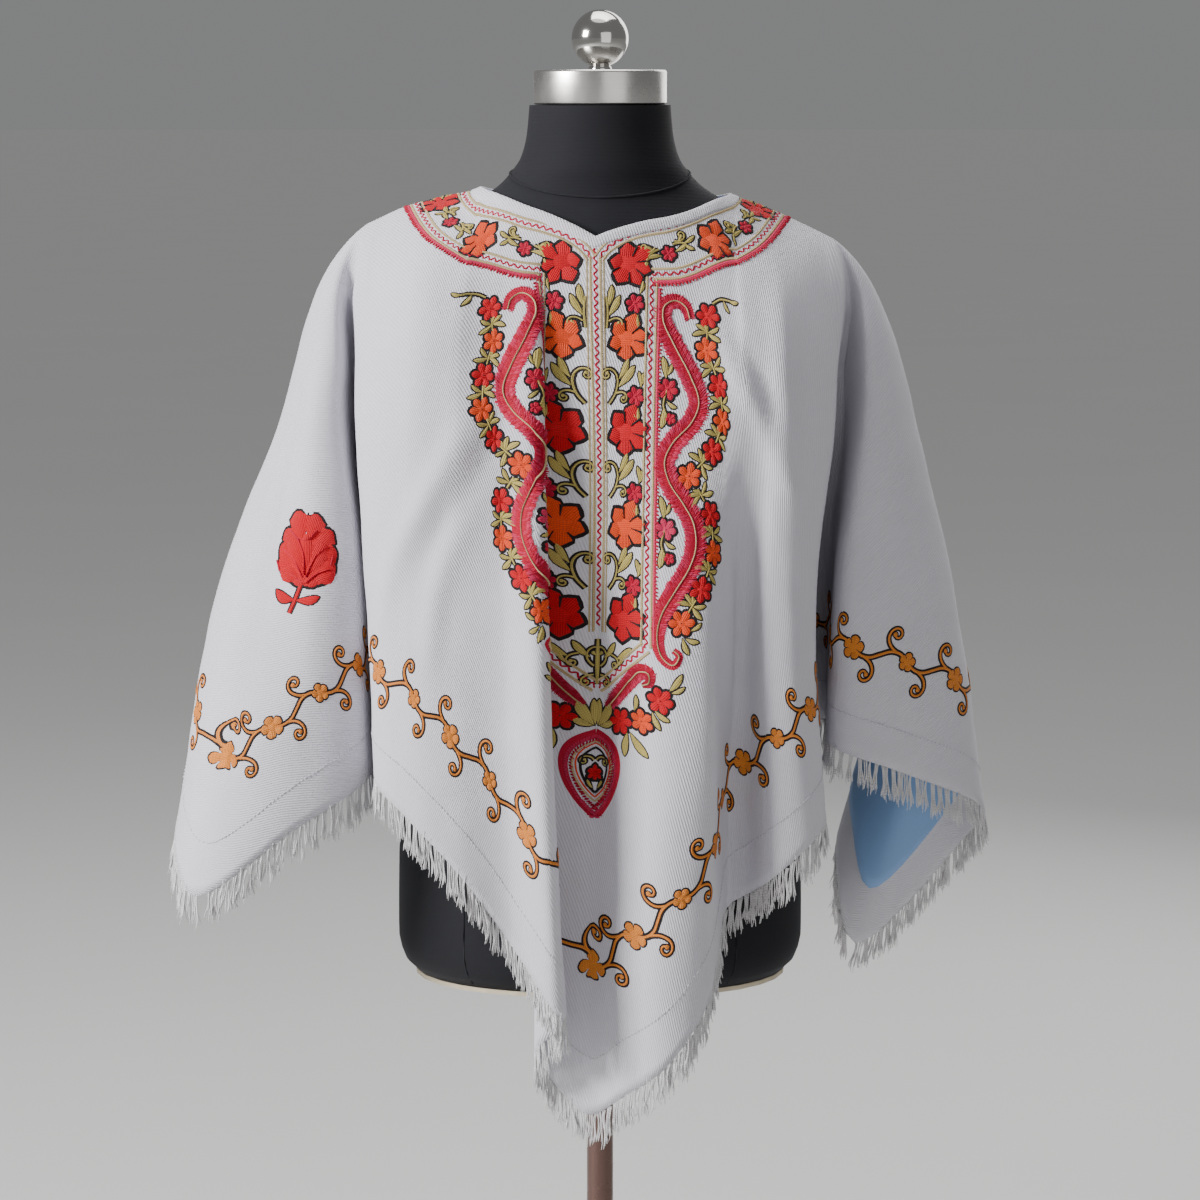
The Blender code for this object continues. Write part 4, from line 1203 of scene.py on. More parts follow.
def stitch_piece(name, seed, width=0.26, height=0.16):
    """A plump single stitch of unit length along X, flat side down."""
    dice = random.Random(seed)
    points, uvs = [], []
    bend = dice.uniform(-0.06, 0.06)
    for i in range(6):
        t = i / 5
        swell = math.sin(math.pi * (0.08 + 0.84 * t)) ** 0.6
        for k in range(4):
            s = -1 + 2 * k / 3
            high = height * swell * (1 - s * s * 0.85)
            points.append((t, width * swell * s / 2 + bend * math.sin(math.pi * t), high))
            uvs.append((t * 0.004, width * s * 0.004))
    return mesh_object(name, points, grid_faces(6, 4, turned=True), uvs)


def short_stitch(name, seed):
    """A stitch twice as wide and high for its length."""
    return stitch_piece(name, seed, 0.5, 0.3)


def smooth_path(points, step=2.2):
    """A smooth curve through the points, with points a step apart."""
    points = np.asarray(points, float)
    points = np.vstack([2 * points[0] - points[1], points, 2 * points[-1] - points[-2]])
    shares = np.linspace(0, 1, 12)[:-1]
    fine = [spline(*points[i - 1 : i + 3], t) for i in range(1, len(points) - 2) for t in shares]
    fine = np.array([*fine, points[-2]])
    passed = passed_along(fine)
    wanted = np.linspace(0, passed[-1], max(3, round(passed[-1] / step) + 1))
    return read_at(wanted, passed, fine)


def sideways(path):
    """The direction square to a path at each of its points."""
    ahead = np.gradient(path, axis=0)
    ahead /= np.maximum(np.linalg.norm(ahead, axis=1, keepdims=True), 1e-9)
    return np.column_stack([-ahead[:, 1], ahead[:, 0]])


def beside(path, distance):
    """The path, moved sideways."""
    return path + sideways(path) * distance


def ribbon(work, thread, path, width, height=0.75, rim=0.0, ends=(1.0, 1.0), across=4):
    """A raised line of stitches along a path, with a dark rim under it if wanted."""
    path = np.asarray(path, float)
    if rim:
        ribbon(work, "outline", path, width + 2.7 * rim, height * 0.55, 0.0, ends)
    wide = width / 2 * (ends[0] + (ends[1] - ends[0]) * np.linspace(0, 1, len(path)))
    s = np.linspace(-1, 1, across)
    grid = path[:, None, :] + sideways(path)[:, None, :] * (wide[:, None] * s)[:, :, None]
    uvs = np.stack(np.broadcast_arrays(passed_along(path)[:, None], wide[:, None] * s), axis=-1)
    work.patch(thread, grid, (0.04 + height * (1 - s**2 * 0.9))[None, :], uvs)


def petal(work, thread, base, angle, length, width, height=0.95, rim=1.2, belly=0.6, bend=0.0, point=0.62):
    """One filled petal, lobe or leaf, with a dark rim under it."""
    base = np.asarray(base, float)
    if rim:
        start, length_all, width_all = base - unit(angle) * rim, length + 2 * rim, width + 2 * rim
        petal(work, "outline", start, angle, length_all, width_all, 0.4, 0, belly, bend, point)
    t = 0.5 - 0.5 * np.cos(np.linspace(0, np.pi, 9))
    s = np.linspace(-1, 1, 5)
    swell = np.maximum(np.sin(np.pi * t ** (math.log(0.5) / math.log(belly))), 0) ** point
    swell = np.maximum(swell, 0.04)
    bow = bend * np.sin(np.pi * t)
    out = (width / 2 * swell)[:, None] * s + bow[:, None]
    grid = base + unit(angle) * (length * t)[:, None, None] + unit(angle + 90) * out[:, :, None]
    uvs = np.stack(np.broadcast_arrays((length * t)[:, None], out), axis=-1)
    work.patch(thread, grid, 0.04 + height * (1 - s**2 * 0.8)[None, :] * (swell**0.5)[:, None], uvs)


def disc(work, thread, centre, radius, height=1.0, rim=0.0):
    """A raised round spot, with a dark rim under it if wanted."""
    if rim:
        disc(work, "outline", centre, radius + rim, 0.4)
    r = np.linspace(0.02, 1, 4)[:, None, None]
    turns = np.linspace(0, 2 * math.pi, 13)
    ring = np.column_stack([np.cos(turns), np.sin(turns)])[None, :, :]
    grid = np.asarray(centre, float) + r * ring * radius
    work.patch(thread, grid, 0.05 + height * (1 - r[:, :, 0] ** 2 * 0.75), grid)


def petals(work, thread, centre, rows, more, height, belly, point=0.62):
    """Petals from one centre. Rows hold the turn, length and width of each, and more is added to both sizes."""
    for turn, length, width in rows:
        petal(work, thread, centre, turn, length + more[0], width + more[1], height, 0, belly, 0, point)


def flower(work, thread, centre, radius, angle=0.0, count=6):
    """A small flower of round petals, each with its dark outline."""
    centre = np.asarray(centre, float)
    rows = [(angle + 360 * k / count, radius, radius * 3.5 / count) for k in range(count)]
    petals(work, "outline", centre, rows, (1.2, 3.3), 0.45, 0.70)
    for turn, length, width in rows:
        petal(work, thread, centre - unit(turn), turn, length + 0.2, width, 1.0, 0, 0.72)
    disc(work, thread, centre, radius * 0.36, 0.85)
    disc(work, "outline", centre, radius * 0.07, 1.3)


# Turn, reach and width of each lobe, as shares of the leaf's size
LEAF_LOBES = [
    (-124, 0.56, 0.42), (-68, 0.72, 0.46), (-14, 0.60, 0.42), (32, 0.63, 0.42), (90, 0.56, 0.50), (164, 0.48, 0.40),
]
# Turn, near end and far end of each slit
LEAF_SLITS = [(-94, 0.20, 0.48), (-40, 0.20, 0.52), (9, 0.22, 0.50), (58, 0.22, 0.48), (128, 0.24, 0.44)]


def lobed_leaf(work, thread, centre, angle, size):
    """A plane-tree leaf: six blunt lobes on a full middle, with narrow slits between them."""
    centre = np.asarray(centre, float)
    rows = [(angle + turn, reach * size, wide * size) for turn, reach, wide in LEAF_LOBES]
    petals(work, "outline", centre, rows, (3.0, 3.5), 0.45, 0.58, 0.92)
    disc(work, "outline", centre, size * 0.33, 0.4)
    petals(work, thread, centre, rows, (0, 0), 1.0, 0.58, 0.92)
    disc(work, thread, centre, size * 0.29, 1.05)
    for turn, nearer, further in LEAF_SLITS:
        way = unit(angle + turn) * size
        slit = smooth_path([centre + way * nearer, centre + way * further], 1.6)
        ribbon(work, "outline", slit, 2.0, 1.5, 0.0, (0.7, 1.6), 3)


def curl_path(start, angle, size, turn=1, wound=400, steps=20):
    """A path that leaves along an angle and winds up into a curl."""
    t = (np.arange(steps) + 0.5) / steps
    headings = angle + turn * wound * (0.25 * t + 0.75 * t**2)
    moves = np.array([unit(h) for h in headings]) * (size * 3.4 / steps) * (1.15 - 0.55 * t)[:, None]
    return np.vstack([[start], np.asarray(start, float) + np.cumsum(moves, axis=0)])


def curl(work, thread, start, angle, size, turn=1, width=2.0, wound=400):
    """A stem that winds up and ends in a round tip."""
    path = curl_path(start, angle, size, turn, wound)
    ribbon(work, thread, path, width, 0.85, 1.0, (1.0, 0.8))
    disc(work, thread, path[-1], width * 0.7, 0.95, 1.0)


def leaf(work, start, angle, length, bend=1.0):
    """One slender gold leaf."""
    petal(work, "gold", start, angle, length, length * 0.26 + 0.8, 0.9, 1.1, 0.6, bend)


def leaves(work, rows):
    """Gold leaves, each from its start, its heading and its length."""
    for start, heading, length in rows:
        leaf(work, start, heading, length)


def stem(work, points, width=2.4, height=0.85, rim=1.0):
    """A gold stem through a few points."""
    ribbon(work, "gold", smooth_path(points), width, height, rim)


# The waving crimson line, in millimetres
WAVE_SWING = 1.4
WAVE_LENGTH = 7.4
WAVE_WIDTH = 1.7


def wavy(work, path):
    """A thin crimson line that waves along a path."""
    fine = smooth_path(path, 0.9)
    swing = WAVE_SWING * np.sin(2 * np.pi * passed_along(fine) / WAVE_LENGTH)
    ribbon(work, "crimson", fine + sideways(fine) * swing[:, None], WAVE_WIDTH, 0.7, 0.0, (1, 1), 3)


def braid(work, path):
    """Two beige lines with a crimson wave between them."""
    fine = smooth_path(path, 2.6)
    for distance in (-4.4, 4.4):
        ribbon(work, "beige", beside(fine, distance), 2.6, 0.7)
    wavy(work, fine)


def teeth(work, thread, path, side, pitch=3.3, size=4.2, lean=74):
    """Short stitches that lean along one side of a path."""
    fine = smooth_path(path, pitch)
    for point, way in zip(fine, sideways(fine) * side):
        work.mark(thread, "tooth", point, angle_of(way) - side * (90 - lean), size)


# The barbs of a feathered band: how many degrees they lean, the near and far end and the thread of each
# row, as shares of the half width, and how often a barb takes the other row's thread
BARB_LEAN = 26
BARBS = ((0.08, 0.62, "crimson"), (0.42, 1.02, "pink"))
BARB_SWAP = 0.28


def feather(work, path, width=20.0):
    """A soft band of slanted stitches with a beige line along its middle."""
    fine = smooth_path(path, 1.9)
    along = np.linspace(0, 1, len(fine))
    wide = width / 2 * np.minimum(1, 0.55 + 2.6 * along) * np.minimum(1, 0.30 + 3.2 * (1 - along))
    ways = sideways(fine)
    s = np.linspace(-1, 1, 7)
    grid = fine[:, None, :] + ways[:, None, :] * (wide[:, None] * s * 0.9)[:, :, None]
    uvs = np.stack(np.broadcast_arrays(wide[:, None] * s, along[:, None] * 400), axis=-1)
    work.patch("crimson", grid, (0.05 + 0.6 * (1 - s**2 * 0.8))[None, :], uvs)
    for point, across, half in zip(fine, ways, wide):
        for side in (-1, 1):
            way = across * side
            for near, far, thread in BARBS:
                if work.dice.random() < BARB_SWAP:
                    thread = "pink" if thread == "crimson" else "crimson"
                size = half * (far - near) * 1.1
                work.mark(thread, "barb", point + way * half * near, angle_of(way) + side * BARB_LEAN, size)
    ribbon(work, "beige", fine, 1.5, 1.9, 0.0, (1, 1), 3)


# Paths and places on one half of the front: out from the placket, and down from the middle of the neck
NECK_PATH = [
    (3, 122), (9, 115), (18, 109), (29, 104), (46, 98), (62, 92), (78, 83), (94, 70), (108, 53), (119, 28),
    (123, 0), (121, -30), (110, -58), (92, -84), (63, -107), (32, -120), (0, -124),
]
YOKE_PATH = [
    (50, 138), (81, 131), (119, 105), (150, 69), (162, 20), (161, -30), (148, -76), (120, -115),
    (82, -144), (42, -161), (0, -166),
]
SERPENT = [
    (86, 174), (82, 164), (72, 159), (62, 165), (61, 178), (71, 197), (87, 224), (96, 247), (90, 264),
    (72, 283), (65, 299), (69, 315), (83, 335), (92, 352), (94, 372), (88, 390), (76, 409), (64, 430),
    (60, 450), (64, 467), (74, 473), (79, 465), (74, 460),
]
# What stands beside the placket: kind, thread, place and size
COLUMN = [
    ("flower", "crimson", 35, 166, 9.5), ("leaf", "orange", 27, 197, 34), ("scroll", "gold", 15, 236, 0),
    ("flower", "crimson", 37, 247, 9.5), ("leaf", "red", 27, 278, 37), ("scroll", "gold", 15, 318, 0),
    ("flower", "crimson", 37, 331, 9.5), ("leaf", "orange", 27, 361, 36), ("scroll", "gold", 15, 399, 0),
    ("flower", "crimson", 37, 412, 9.5), ("leaf", "red", 27, 442, 36),
]
# The outer flowers: thread and place
OUTER_CHAIN = [
    ("red", 104, 170), ("orange", 103, 201), ("red", 117, 230), ("orange", 123, 260), ("red", 112, 288),
    ("orange", 88, 311), ("red", 111, 343), ("orange", 114, 376), ("red", 99, 409), ("orange", 81, 437),
]
# Place, thread, angle and size of the yoke's leaves, and place and size of its flowers
YOKE_LEAVES = [
    (29, 130, "red", 30, 35), (107, 95, "orange", -20, 33), (144, 15, "red", -70, 30),
    (136, -56, "orange", 170, 31), (92, -110, "red", 130, 31), (28, -141, "orange", 100, 31),
]
YOKE_FLOWERS = [(65, 117, 8.0), (137, 55, 8.0), (146, -20, 8), (118, -85, 8), (60, -130, 8)]


def sprig(work, at, heading, reach, flip):
    """A forked stem with three leaves."""
    at = np.asarray(at, float)
    way = unit(heading)
    tip = at + way * reach * 0.7
    stem(work, [at, (at + tip) / 2 + unit(heading + 90) * flip, tip])
    leaf(work, tip - way * 2, heading - 30, reach * 0.75)
    leaf(work, tip - way * 2, heading + 36, reach * 0.65)
    leaf(work, at + way * reach * 0.25, heading + flip * 62, reach * 0.6)


def scroll_group(work, at, q):
    """A stem with two curls and long leaves, between two leaves of the placket."""
    stem(work, [(at - 5, q + 17), (at + 1, q + 9), (at + 4, q - 2), (at + 3, q - 8)], rim=1.1)
    curl(work, "gold", (at + 4, q - 4), -100, 11.5, -1, 2.3, 430)
    curl(work, "gold", (at + 2, q + 8), -20, 9.0, 1, 2.2, 420)
    leaf(work, (at + 4, q + 3), -48, 25)
    leaf(work, (at + 5, q - 4), -62, 20)
    leaf(work, (at + 27, q + 3), -100, 14)
    leaf(work, (at + 20, q + 22), 70, 9)


# How far down the placket's inner lines run, and the path of its outer edge
PLACKET_TOP = 120
PLACKET_FOOT = 455
PLACKET_SIDE = [(57, 150), (57, 240), (57, 320), (57, 400), (57, 458)]


def placket_half(work):
    """The lines down the placket, round the neck and round the yoke."""
    middle = (PLACKET_TOP + PLACKET_FOOT) / 2
    line = np.array([(4.2, PLACKET_TOP), (4.2, middle), (4.2, PLACKET_FOOT)])
    ribbon(work, "beige", smooth_path(line, 3.0), 2.6, 0.7)
    ribbon(work, "beige", smooth_path(line + (3.0, 0), 3.0), 1.5, 0.6, 0.0, (1, 1), 3)
    braid(work, NECK_PATH)
    braid(work, [(50, 141), (50, 240), (50, 320), (50, 400), (50, 462)])
    braid(work, [(50, 462), (34, 478), (17, 492), (1, 505)])
    ribbon(work, "pink", smooth_path(PLACKET_SIDE, 3.0), 3.0, 0.8)
    teeth(work, "crimson", PLACKET_SIDE, -1, 3.3, 3.6)
    braid(work, YOKE_PATH)
    rim = beside(smooth_path(YOKE_PATH, 3.0), 7.6)
    ribbon(work, "pink", rim, 4.0, 0.8)
    teeth(work, "crimson", rim, 1)


def yoke_half(work):
    """Leaves, flowers and stems between the neck lines and the yoke's edge, all round the neck."""
    for at, q, thread, angle, size in YOKE_LEAVES:
        lobed_leaf(work, thread, (at, q), angle, size)
    for at, q, size in YOKE_FLOWERS:
        flower(work, "crimson", (at, q), size, at)
        centre = np.array([at, q])
        round_neck = angle_of(centre) + 90
        for way, flip in ((round_neck, 1), (round_neck + 180, -1)):
            leaf(work, centre + unit(way) * size * 0.8, way + 12 * flip, 14)
            sprig(work, centre * 0.95 + unit(way) * size * 0.9, way - 14 * flip, 18, flip)
            inner = centre * (1 - 9 / math.hypot(at, q)) + unit(way) * 10
            curl(work, "gold", inner, way - 30 * flip, 8.5, flip, 2.3)


def column_half(work):
    """The column of leaves, flowers and scrolls beside the placket, down to its point."""
    for kind, thread, at, q, size in COLUMN:
        if kind == "flower":
            flower(work, thread, (at, q), size, 12)
            leaf(work, (at + 3, q + 9), 88, 12)
            leaf(work, (at + 4, q - 9), -76, 12)
        elif kind == "leaf":
            lobed_leaf(work, thread, (at, q), 0, size)
        else:
            scroll_group(work, at, q)
    stem(work, [(9, 186), (10, 172), (9, 158)], 2.6, 0.85, 1.1)
    leaves(work, [((10, 176), -58, 21), ((10, 168), -78, 20)])
    curl(work, "gold", (11, 180), -30, 9.0, 1, 2.2)
    stem(work, [(0, 503), (1, 482), (0, 462)], 3.0, 0.9, 1.2)
    curl(work, "gold", (3, 486), -40, 12.0, -1, 2.3)
    curl(work, "gold", (3, 494), -10, 8.0, 1, 2.1)
    curl(work, "gold", (14, 474), 10, 9.0, 1, 2.1)
    leaves(work, [((6, 478), -50, 19), ((20, 478), -34, 20), ((22, 484), -62, 12)])


# Turns from the chain's own direction, and lengths
CHAIN_LEAVES = ((76, 15), (-70, 15), (118, 13), (-122, 13), (150, 9))


def outer_half(work):
    """The feathered band and the chain of flowers outside the placket."""
    feather(work, SERPENT)
    for (_, at, q), (_, next_at, next_q) in zip(OUTER_CHAIN, OUTER_CHAIN[1:]):
        middle = np.array([(at + next_at) / 2, (q + next_q) / 2])
        way = angle_of((next_at - at, next_q - q))
        stem(work, [middle - unit(way) * 6, middle + unit(way) * 6], 2.4, 0.8)
        leaves(work, [(middle, way + turn, length) for turn, length in CHAIN_LEAVES])
    for k, (thread, at, q) in enumerate(OUTER_CHAIN):
        flower(work, thread, (at, q), 12.6, 20 * k)
    stem(work, [(108, 158), (116, 152), (130, 148)], 2.4, 0.8)
    leaves(work, [((126, 149), -20, 12), ((120, 151), 50, 12)])
    for thread, q in (("crimson", 237), ("pink", 357)):
        stem(work, [(66, q), (63, q + 14), (66, q + 22)], 2.2, 0.8)
        leaves(work, [((65, q - 8), -100, 20), ((66, q - 12), -66, 11)])
        leaf(work, (64, q + 14), 98, 20, -1)
        leaf(work, (66, q + 10), 30, 11)
        flower(work, thread, (67, q), 10.5, 10)
        flower(work, "crimson", (70, q + 25), 6.0, 30, 5)
    leaves(work, [((82, 450), 70, 15), ((84, 450), 20, 13), ((88, 444), -30, 12)])


# Start, heading and length of each leaf below the placket's point
FOOT_LEAVES = [
    ((34, 540), 96, 22), ((36, 540), 44, 24), ((40, 520), -84, 14), ((56, 516), 62, 16), ((58, 514), 30, 15),
    ((70, 496), -52, 19), ((72, 497), -22, 13), ((16, 536), 170, 10),
]


def foot_half(work):
    """What hangs below the point of the placket."""
    feather(work, [(11, 521), (24, 508), (36, 494), (44, 485), (52, 484), (53, 492), (47, 496)], 15.0)
    for start, heading, length, width, bend in (
        ((2, 540), -62, 28, 9, 1.5), ((1, 540), -86, 24, 7, 0.0), ((3, 540), -30, 19, 6, 1.5),
    ):
        petal(work, "gold", start, heading, length, width, 0.9, 1.2, 0.6, bend)
    leaves(work, FOOT_LEAVES)
    flower(work, "red", (26, 532), 13.0)
    flower(work, "orange", (47, 527), 11.5, 20)
    flower(work, "red", (63, 505), 12.6, 10)


def drop_path(half_width, top, foot):
    """Half of a drop's outline, round at the top and pointed below."""
    points = []
    for turn in np.linspace(0, math.pi, 13):
        out = 1.22 * math.sin(turn) * math.cos(turn / 2) ** 0.9
        points.append((half_width * out, top + (foot - top) * (1 - math.cos(turn)) / 2))
    return smooth_path(points, 2.2)


def drop_half(work):
    """Half of the drop below the placket, ring inside ring."""
    band = drop_path(25, 548, 624)
    ribbon(work, "crimson", band, 9.0, 0.9, 0.0, (1, 0.45), 5)
    teeth(work, "crimson", beside(band, 4.0), 1, 2.7, 4.4, 62)
    teeth(work, "pink", band, 1, 2.4, 4.6, 62)
    ribbon(work, "beige", drop_path(18.5, 555, 610), 1.6, 1.3)
    ribbon(work, "orange", drop_path(16.0, 557, 606), 1.3, 1.2)
    ribbon(work, "outline", drop_path(12.5, 561, 602), 2.2, 1.0)
    curl(work, "gold", (1, 572), -60, 8.0, 1, 1.8)
    leaf(work, (2, 597), -62, 10)


VINE_PERIODS = 18


def border_vine(work):
    """One hem's vine: lobed flowers on a waving stem, with a curl on either side of each wave."""
    pitch = (EDGE / MM - 2 * BORDER_INSET) / VINE_PERIODS
    path = [
        (BORDER_INSET + pitch * k / 6, BORDER_INSET + 6.0 * math.sin(math.pi * k / 3))
        for k in range(VINE_PERIODS * 6 + 1)
    ]
    ribbon(work, "vine", smooth_path(path, 3.0), 3.4, 0.95, 1.1)
    for k in range(VINE_PERIODS):
        s = BORDER_INSET + pitch * (k + 0.5)
        for start, heading in (((s - 17, 105.5), 14), ((s + 17, 94.5), 194)):
            curl(work, "vine", start, heading, 17.5, 1, 3.2, 430)
    for k in range(1, VINE_PERIODS):
        centre = np.array([BORDER_INSET + pitch * k, BORDER_INSET])
        size = 11.5 if k % 2 else 9.0
        rows = [(turn, size, size * 0.82) for turn in (20, 92, 164, 236, 308)]
        petals(work, "outline", centre, rows, (1.2, 2.2), 0.45, 0.70)
        petals(work, "vine", centre, rows, (0, 0), 1.0, 0.70)
        disc(work, "vine", centre, size * 0.45, 1.0)


def corner_flower(work):
    """The four-petalled flower where two hems' vines meet."""
    centre = np.array([BORDER_INSET, BORDER_INSET])
    rows = [(turn, 13, 11.4) for turn in (45, 135, 225, 315)]
    petals(work, "outline", centre, rows, (1.2, 2.0), 0.45, 0.66)
    petals(work, "vine", centre, rows, (0, 0), 1.0, 0.66)
    disc(work, "vine", centre, 6.0, 1.0)


# Turn, reach and width of the outer petals
ROSE_LOBES = [
    (-100, 48, 24), (-72, 46, 24), (-44, 42, 22), (-16, 36, 24), (14, 34, 22), (-128, 39, 22),
    (-156, 34, 24), (176, 32, 22), (148, 29, 20), (42, 31, 22), (72, 29, 22), (108, 28, 22),
]


# Start, heading, length and width of the inner petals, and the lines of their folds
ROSE_PETALS = [
    (2, 14, -112, 44, 22), (6, 14, -62, 40, 22), (0, 18, -150, 30, 18), (8, 18, -24, 30, 18), (4, 12, -88, 40, 18),
]
ROSE_FOLDS = [
    [(-13, -34), (-4, -24), (6, -22), (16, -32)], [(-22, -16), (-10, -6), (0, 14)], [(26, -18), (14, -6), (4, 14)],
    [(-4, -24), (2, -8), (2, 12)], [(-25, 6), (-12, 10), (0, 20)], [(30, 4), (16, 10), (4, 20)],
    [(-30, -4), (-26, 6)], [(32, -10), (30, 0)],
]


def rose(work):
    """A full rose with layered petals, two leaves and a short stem."""
    middle = np.array([3.0, -4.0])
    petals(work, "outline", middle, ROSE_LOBES, (2.2, 2.6), 0.45, 0.80, 0.8)
    petals(work, "red", middle, ROSE_LOBES, (0, -1.5), 1.1, 0.80, 0.8)
    disc(work, "red", middle, 25.0, 1.0)
    for x, y, heading, length, width in ROSE_PETALS:
        petal(work, "red", (x, y), heading, length, width, 1.9, 0, 0.64, 0, 0.8)
    for path in ROSE_FOLDS:
        ribbon(work, "crimson", smooth_path(path), 1.3, 2.6, 0.0, (0.6, 1), 3)
    stalk = smooth_path([(-2, 22), (-8, 36), (-14, 48)])
    ribbon(work, "outline", stalk, 7.0, 0.5)
    petal(work, "red", (-8, 36), -152, 25, 10, 0.9, 1.3, 0.6, -3)
    petal(work, "red", (-8, 36), -8, 27, 8, 0.9, 1.3, 0.6, 3)
    ribbon(work, "red", stalk, 4.4, 1.1)


def thread_looks(own):
    """One material for each colour of thread."""
    return {key: chain_thread(f"{key}_thread", colour_of(getattr(own, key))) for key in own.__annotations__}


# ---- what a user can change ----


def colour_setting(name, description, default):
    return FloatVectorProperty(name=name, description=description, subtype="COLOR", default=default)


def length_setting(name, description, default):
    return FloatProperty(name=name, description=description, unit="LENGTH", default=default)


class PonchoSettings(bpy.types.PropertyGroup):
    """Colours and spacings of the cloth, its fringe and its hem stitches"""

    cloth_colour: colour_setting("Cloth", "Colour of the wool", (0.60, 0.585, 0.64))
    lining_colour: colour_setting("Lining", "Colour of the lining", (0.22, 0.36, 0.62))
    yarn_colour: colour_setting("Yarn", "Colour of the fringe", (0.74, 0.72, 0.73))
    twill_pitch: length_setting("Twill Pitch", "Distance between the ribs", 0.0023)
    yarn_length: length_setting("Yarn Length", "Length of the loose ends", 0.031)
    lock_pitch: length_setting("Lock Pitch", "Distance between groups of ends", 0.0088)
    stitch_pitch: length_setting("Stitch Pitch", "Distance between the hem stitches", 0.0045)


class ThreadSettings(bpy.types.PropertyGroup):
    """Colours of the embroidery threads"""

    red: colour_setting("Red", "Red thread", (0.54, 0.004, 0.012))
    orange: colour_setting("Orange", "Orange thread", (0.72, 0.066, 0.014))
    crimson: colour_setting("Crimson", "Crimson thread", (0.46, 0.006, 0.034))
    gold: colour_setting("Olive Gold", "Stems and scrolls", (0.44, 0.35, 0.10))
    vine: colour_setting("Vine", "Orange-tan of the border", (0.68, 0.22, 0.035))
    outline: colour_setting("Outline", "Dark outline thread", (0.014, 0.009, 0.010))
    beige: colour_setting("Beige", "Beige lines", (0.48, 0.37, 0.20))
    pink: colour_setting("Pink", "Pink curls", (0.56, 0.030, 0.090))


class FormSettings(bpy.types.PropertyGroup):
    """Colours and fineness of the dress form and its stand"""

    cover_colour: colour_setting("Cover", "Knitted cover of the form", (0.011, 0.011, 0.014))
    chrome_colour: colour_setting("Chrome", "Cap and ball", (0.72, 0.70, 0.67))
    bronze_colour: colour_setting("Bronze", "Pole and base", (0.14, 0.085, 0.072))
    sides: IntProperty(name="Sides", description="Sides of the turned pieces", default=96, min=24, max=256)


def colour_of(value):
    return tuple(value[:3])


# ---- operators ----


# How far outside the lining's edge the hem stitches run
HEM_STITCH_OUT = 0.003

# The stage: each lamp's name, place, size in metres and power in watts, and what the camera sees
FLOOR_REACH = 120.0
FLOOR_COLOUR = (0.62, 0.62, 0.61)
SKY_COLOUR = (0.47, 0.475, 0.48, 1)
SKY_LIGHT = 0.37
SKY_SEEN = 0.47
LAMPS = (
    ("key", (-3.0, -1.5, 2.5), 1.1, 265),
    ("fill", (1.4, -3.0, 1.7), 2.4, 16),
    ("top", (0.2, 0.6, 3.4), 1.8, 34),
    ("back", (1.4, 2.8, 2.2), 2.2, 42),
)
LAMPS_AIM = (0, 0, 1.1)
CEILING_POWER = 0.62
CEILING_SPREAD = math.radians(50)
CAMERA_PLACE = (0.0, -2.9, 1.52)
CAMERA_LENS = 95.55
CAMERA_DIP = 9.11


class PONCHO_OT_cloth(bpy.types.Operator):
    """Hang the shell, the lining and the neck edge"""

    bl_idname = "poncho.cloth"
    bl_label = "Make Cloth"

    def execute(self, context):
        own = context.scene.poncho
        wool = twill_cloth("grey_twill", colour_of(own.cloth_colour), own.twill_pitch, 0.6, 0.2)
        blue = twill_cloth("blue_lining", colour_of(own.lining_colour), 0.0008, 0.15, 0.1, 0.55)
        MADE["shell"] = dressed(shell_object(), wool, "shell")
        MADE["lining"] = dressed(lining_object(), blue, "lining")
        MADE["neck"] = dressed(neck_edge_object(), wool, "neck_binding")
        return {"FINISHED"}


class PONCHO_OT_fringe(bpy.types.Operator):
    """Hang loose yarn ends along the four hems"""

    bl_idname = "poncho.fringe"
    bl_label = "Make Fringe"

    def execute(self, context):
        own = context.scene.poncho
        yarn = yarn_material("grey_yarn", colour_of(own.yarn_colour))
        MADE["fringes"] = []
        for side, node in enumerate(FRINGE_SIDES):
            made = fringe_object("yarn_" + node, side, yarn, own.yarn_length, own.lock_pitch)
            MADE["fringes"].append(dressed(made, None, node))
        return {"FINISHED"}


class PONCHO_OT_stitches(bpy.types.Operator):
    """Stitch the lining down along the four hems"""

    bl_idname = "poncho.stitches"
    bl_label = "Make Hem Stitches"

    def execute(self, context):
        own = context.scene.poncho
        work = Work(border_place)
        inset = (LINING_MARGIN - HEM_STITCH_OUT) / MM
        pitch = own.stitch_pitch / MM
        count = int((EDGE / MM - 2 * inset) / pitch)
        for side in range(4):
            work.side = side
            for k in range(count + 1):
                work.mark("wool", "stitch", (inset + k * pitch, inset), 0, pitch * 0.62)
        look = yarn_material("grey_sewing_thread", colour_of(own.cloth_colour))
        MADE["work"] = work.finish("hem_stitches", {"wool": look}, {"stitch": short_stitch})
        return {"FINISHED"}


class PONCHO_OT_front_work(bpy.types.Operator):
    """Embroider the neck, the yoke, the placket and the drop below it"""

    bl_idname = "poncho.front_work"
    bl_label = "Make Front Embroidery"

    def execute(self, context):
        MADE["looks"] = thread_looks(context.scene.threads)
        work = Work(front_place)
        for side in (-1, 1):
            work.side = side
            for part in (placket_half, yoke_half, column_half, outer_half, foot_half, drop_half):
                part(work)
        wavy(work, [(0, 112), (0, 220), (0, 340), (0, 450)])
        flower(work, "red", (0, 583), 8.0, 90, 6)
        kinds = {"tooth": short_stitch, "barb": stitch_piece}
        MADE["work"] += work.finish("front_work", MADE["looks"], kinds)
        return {"FINISHED"}


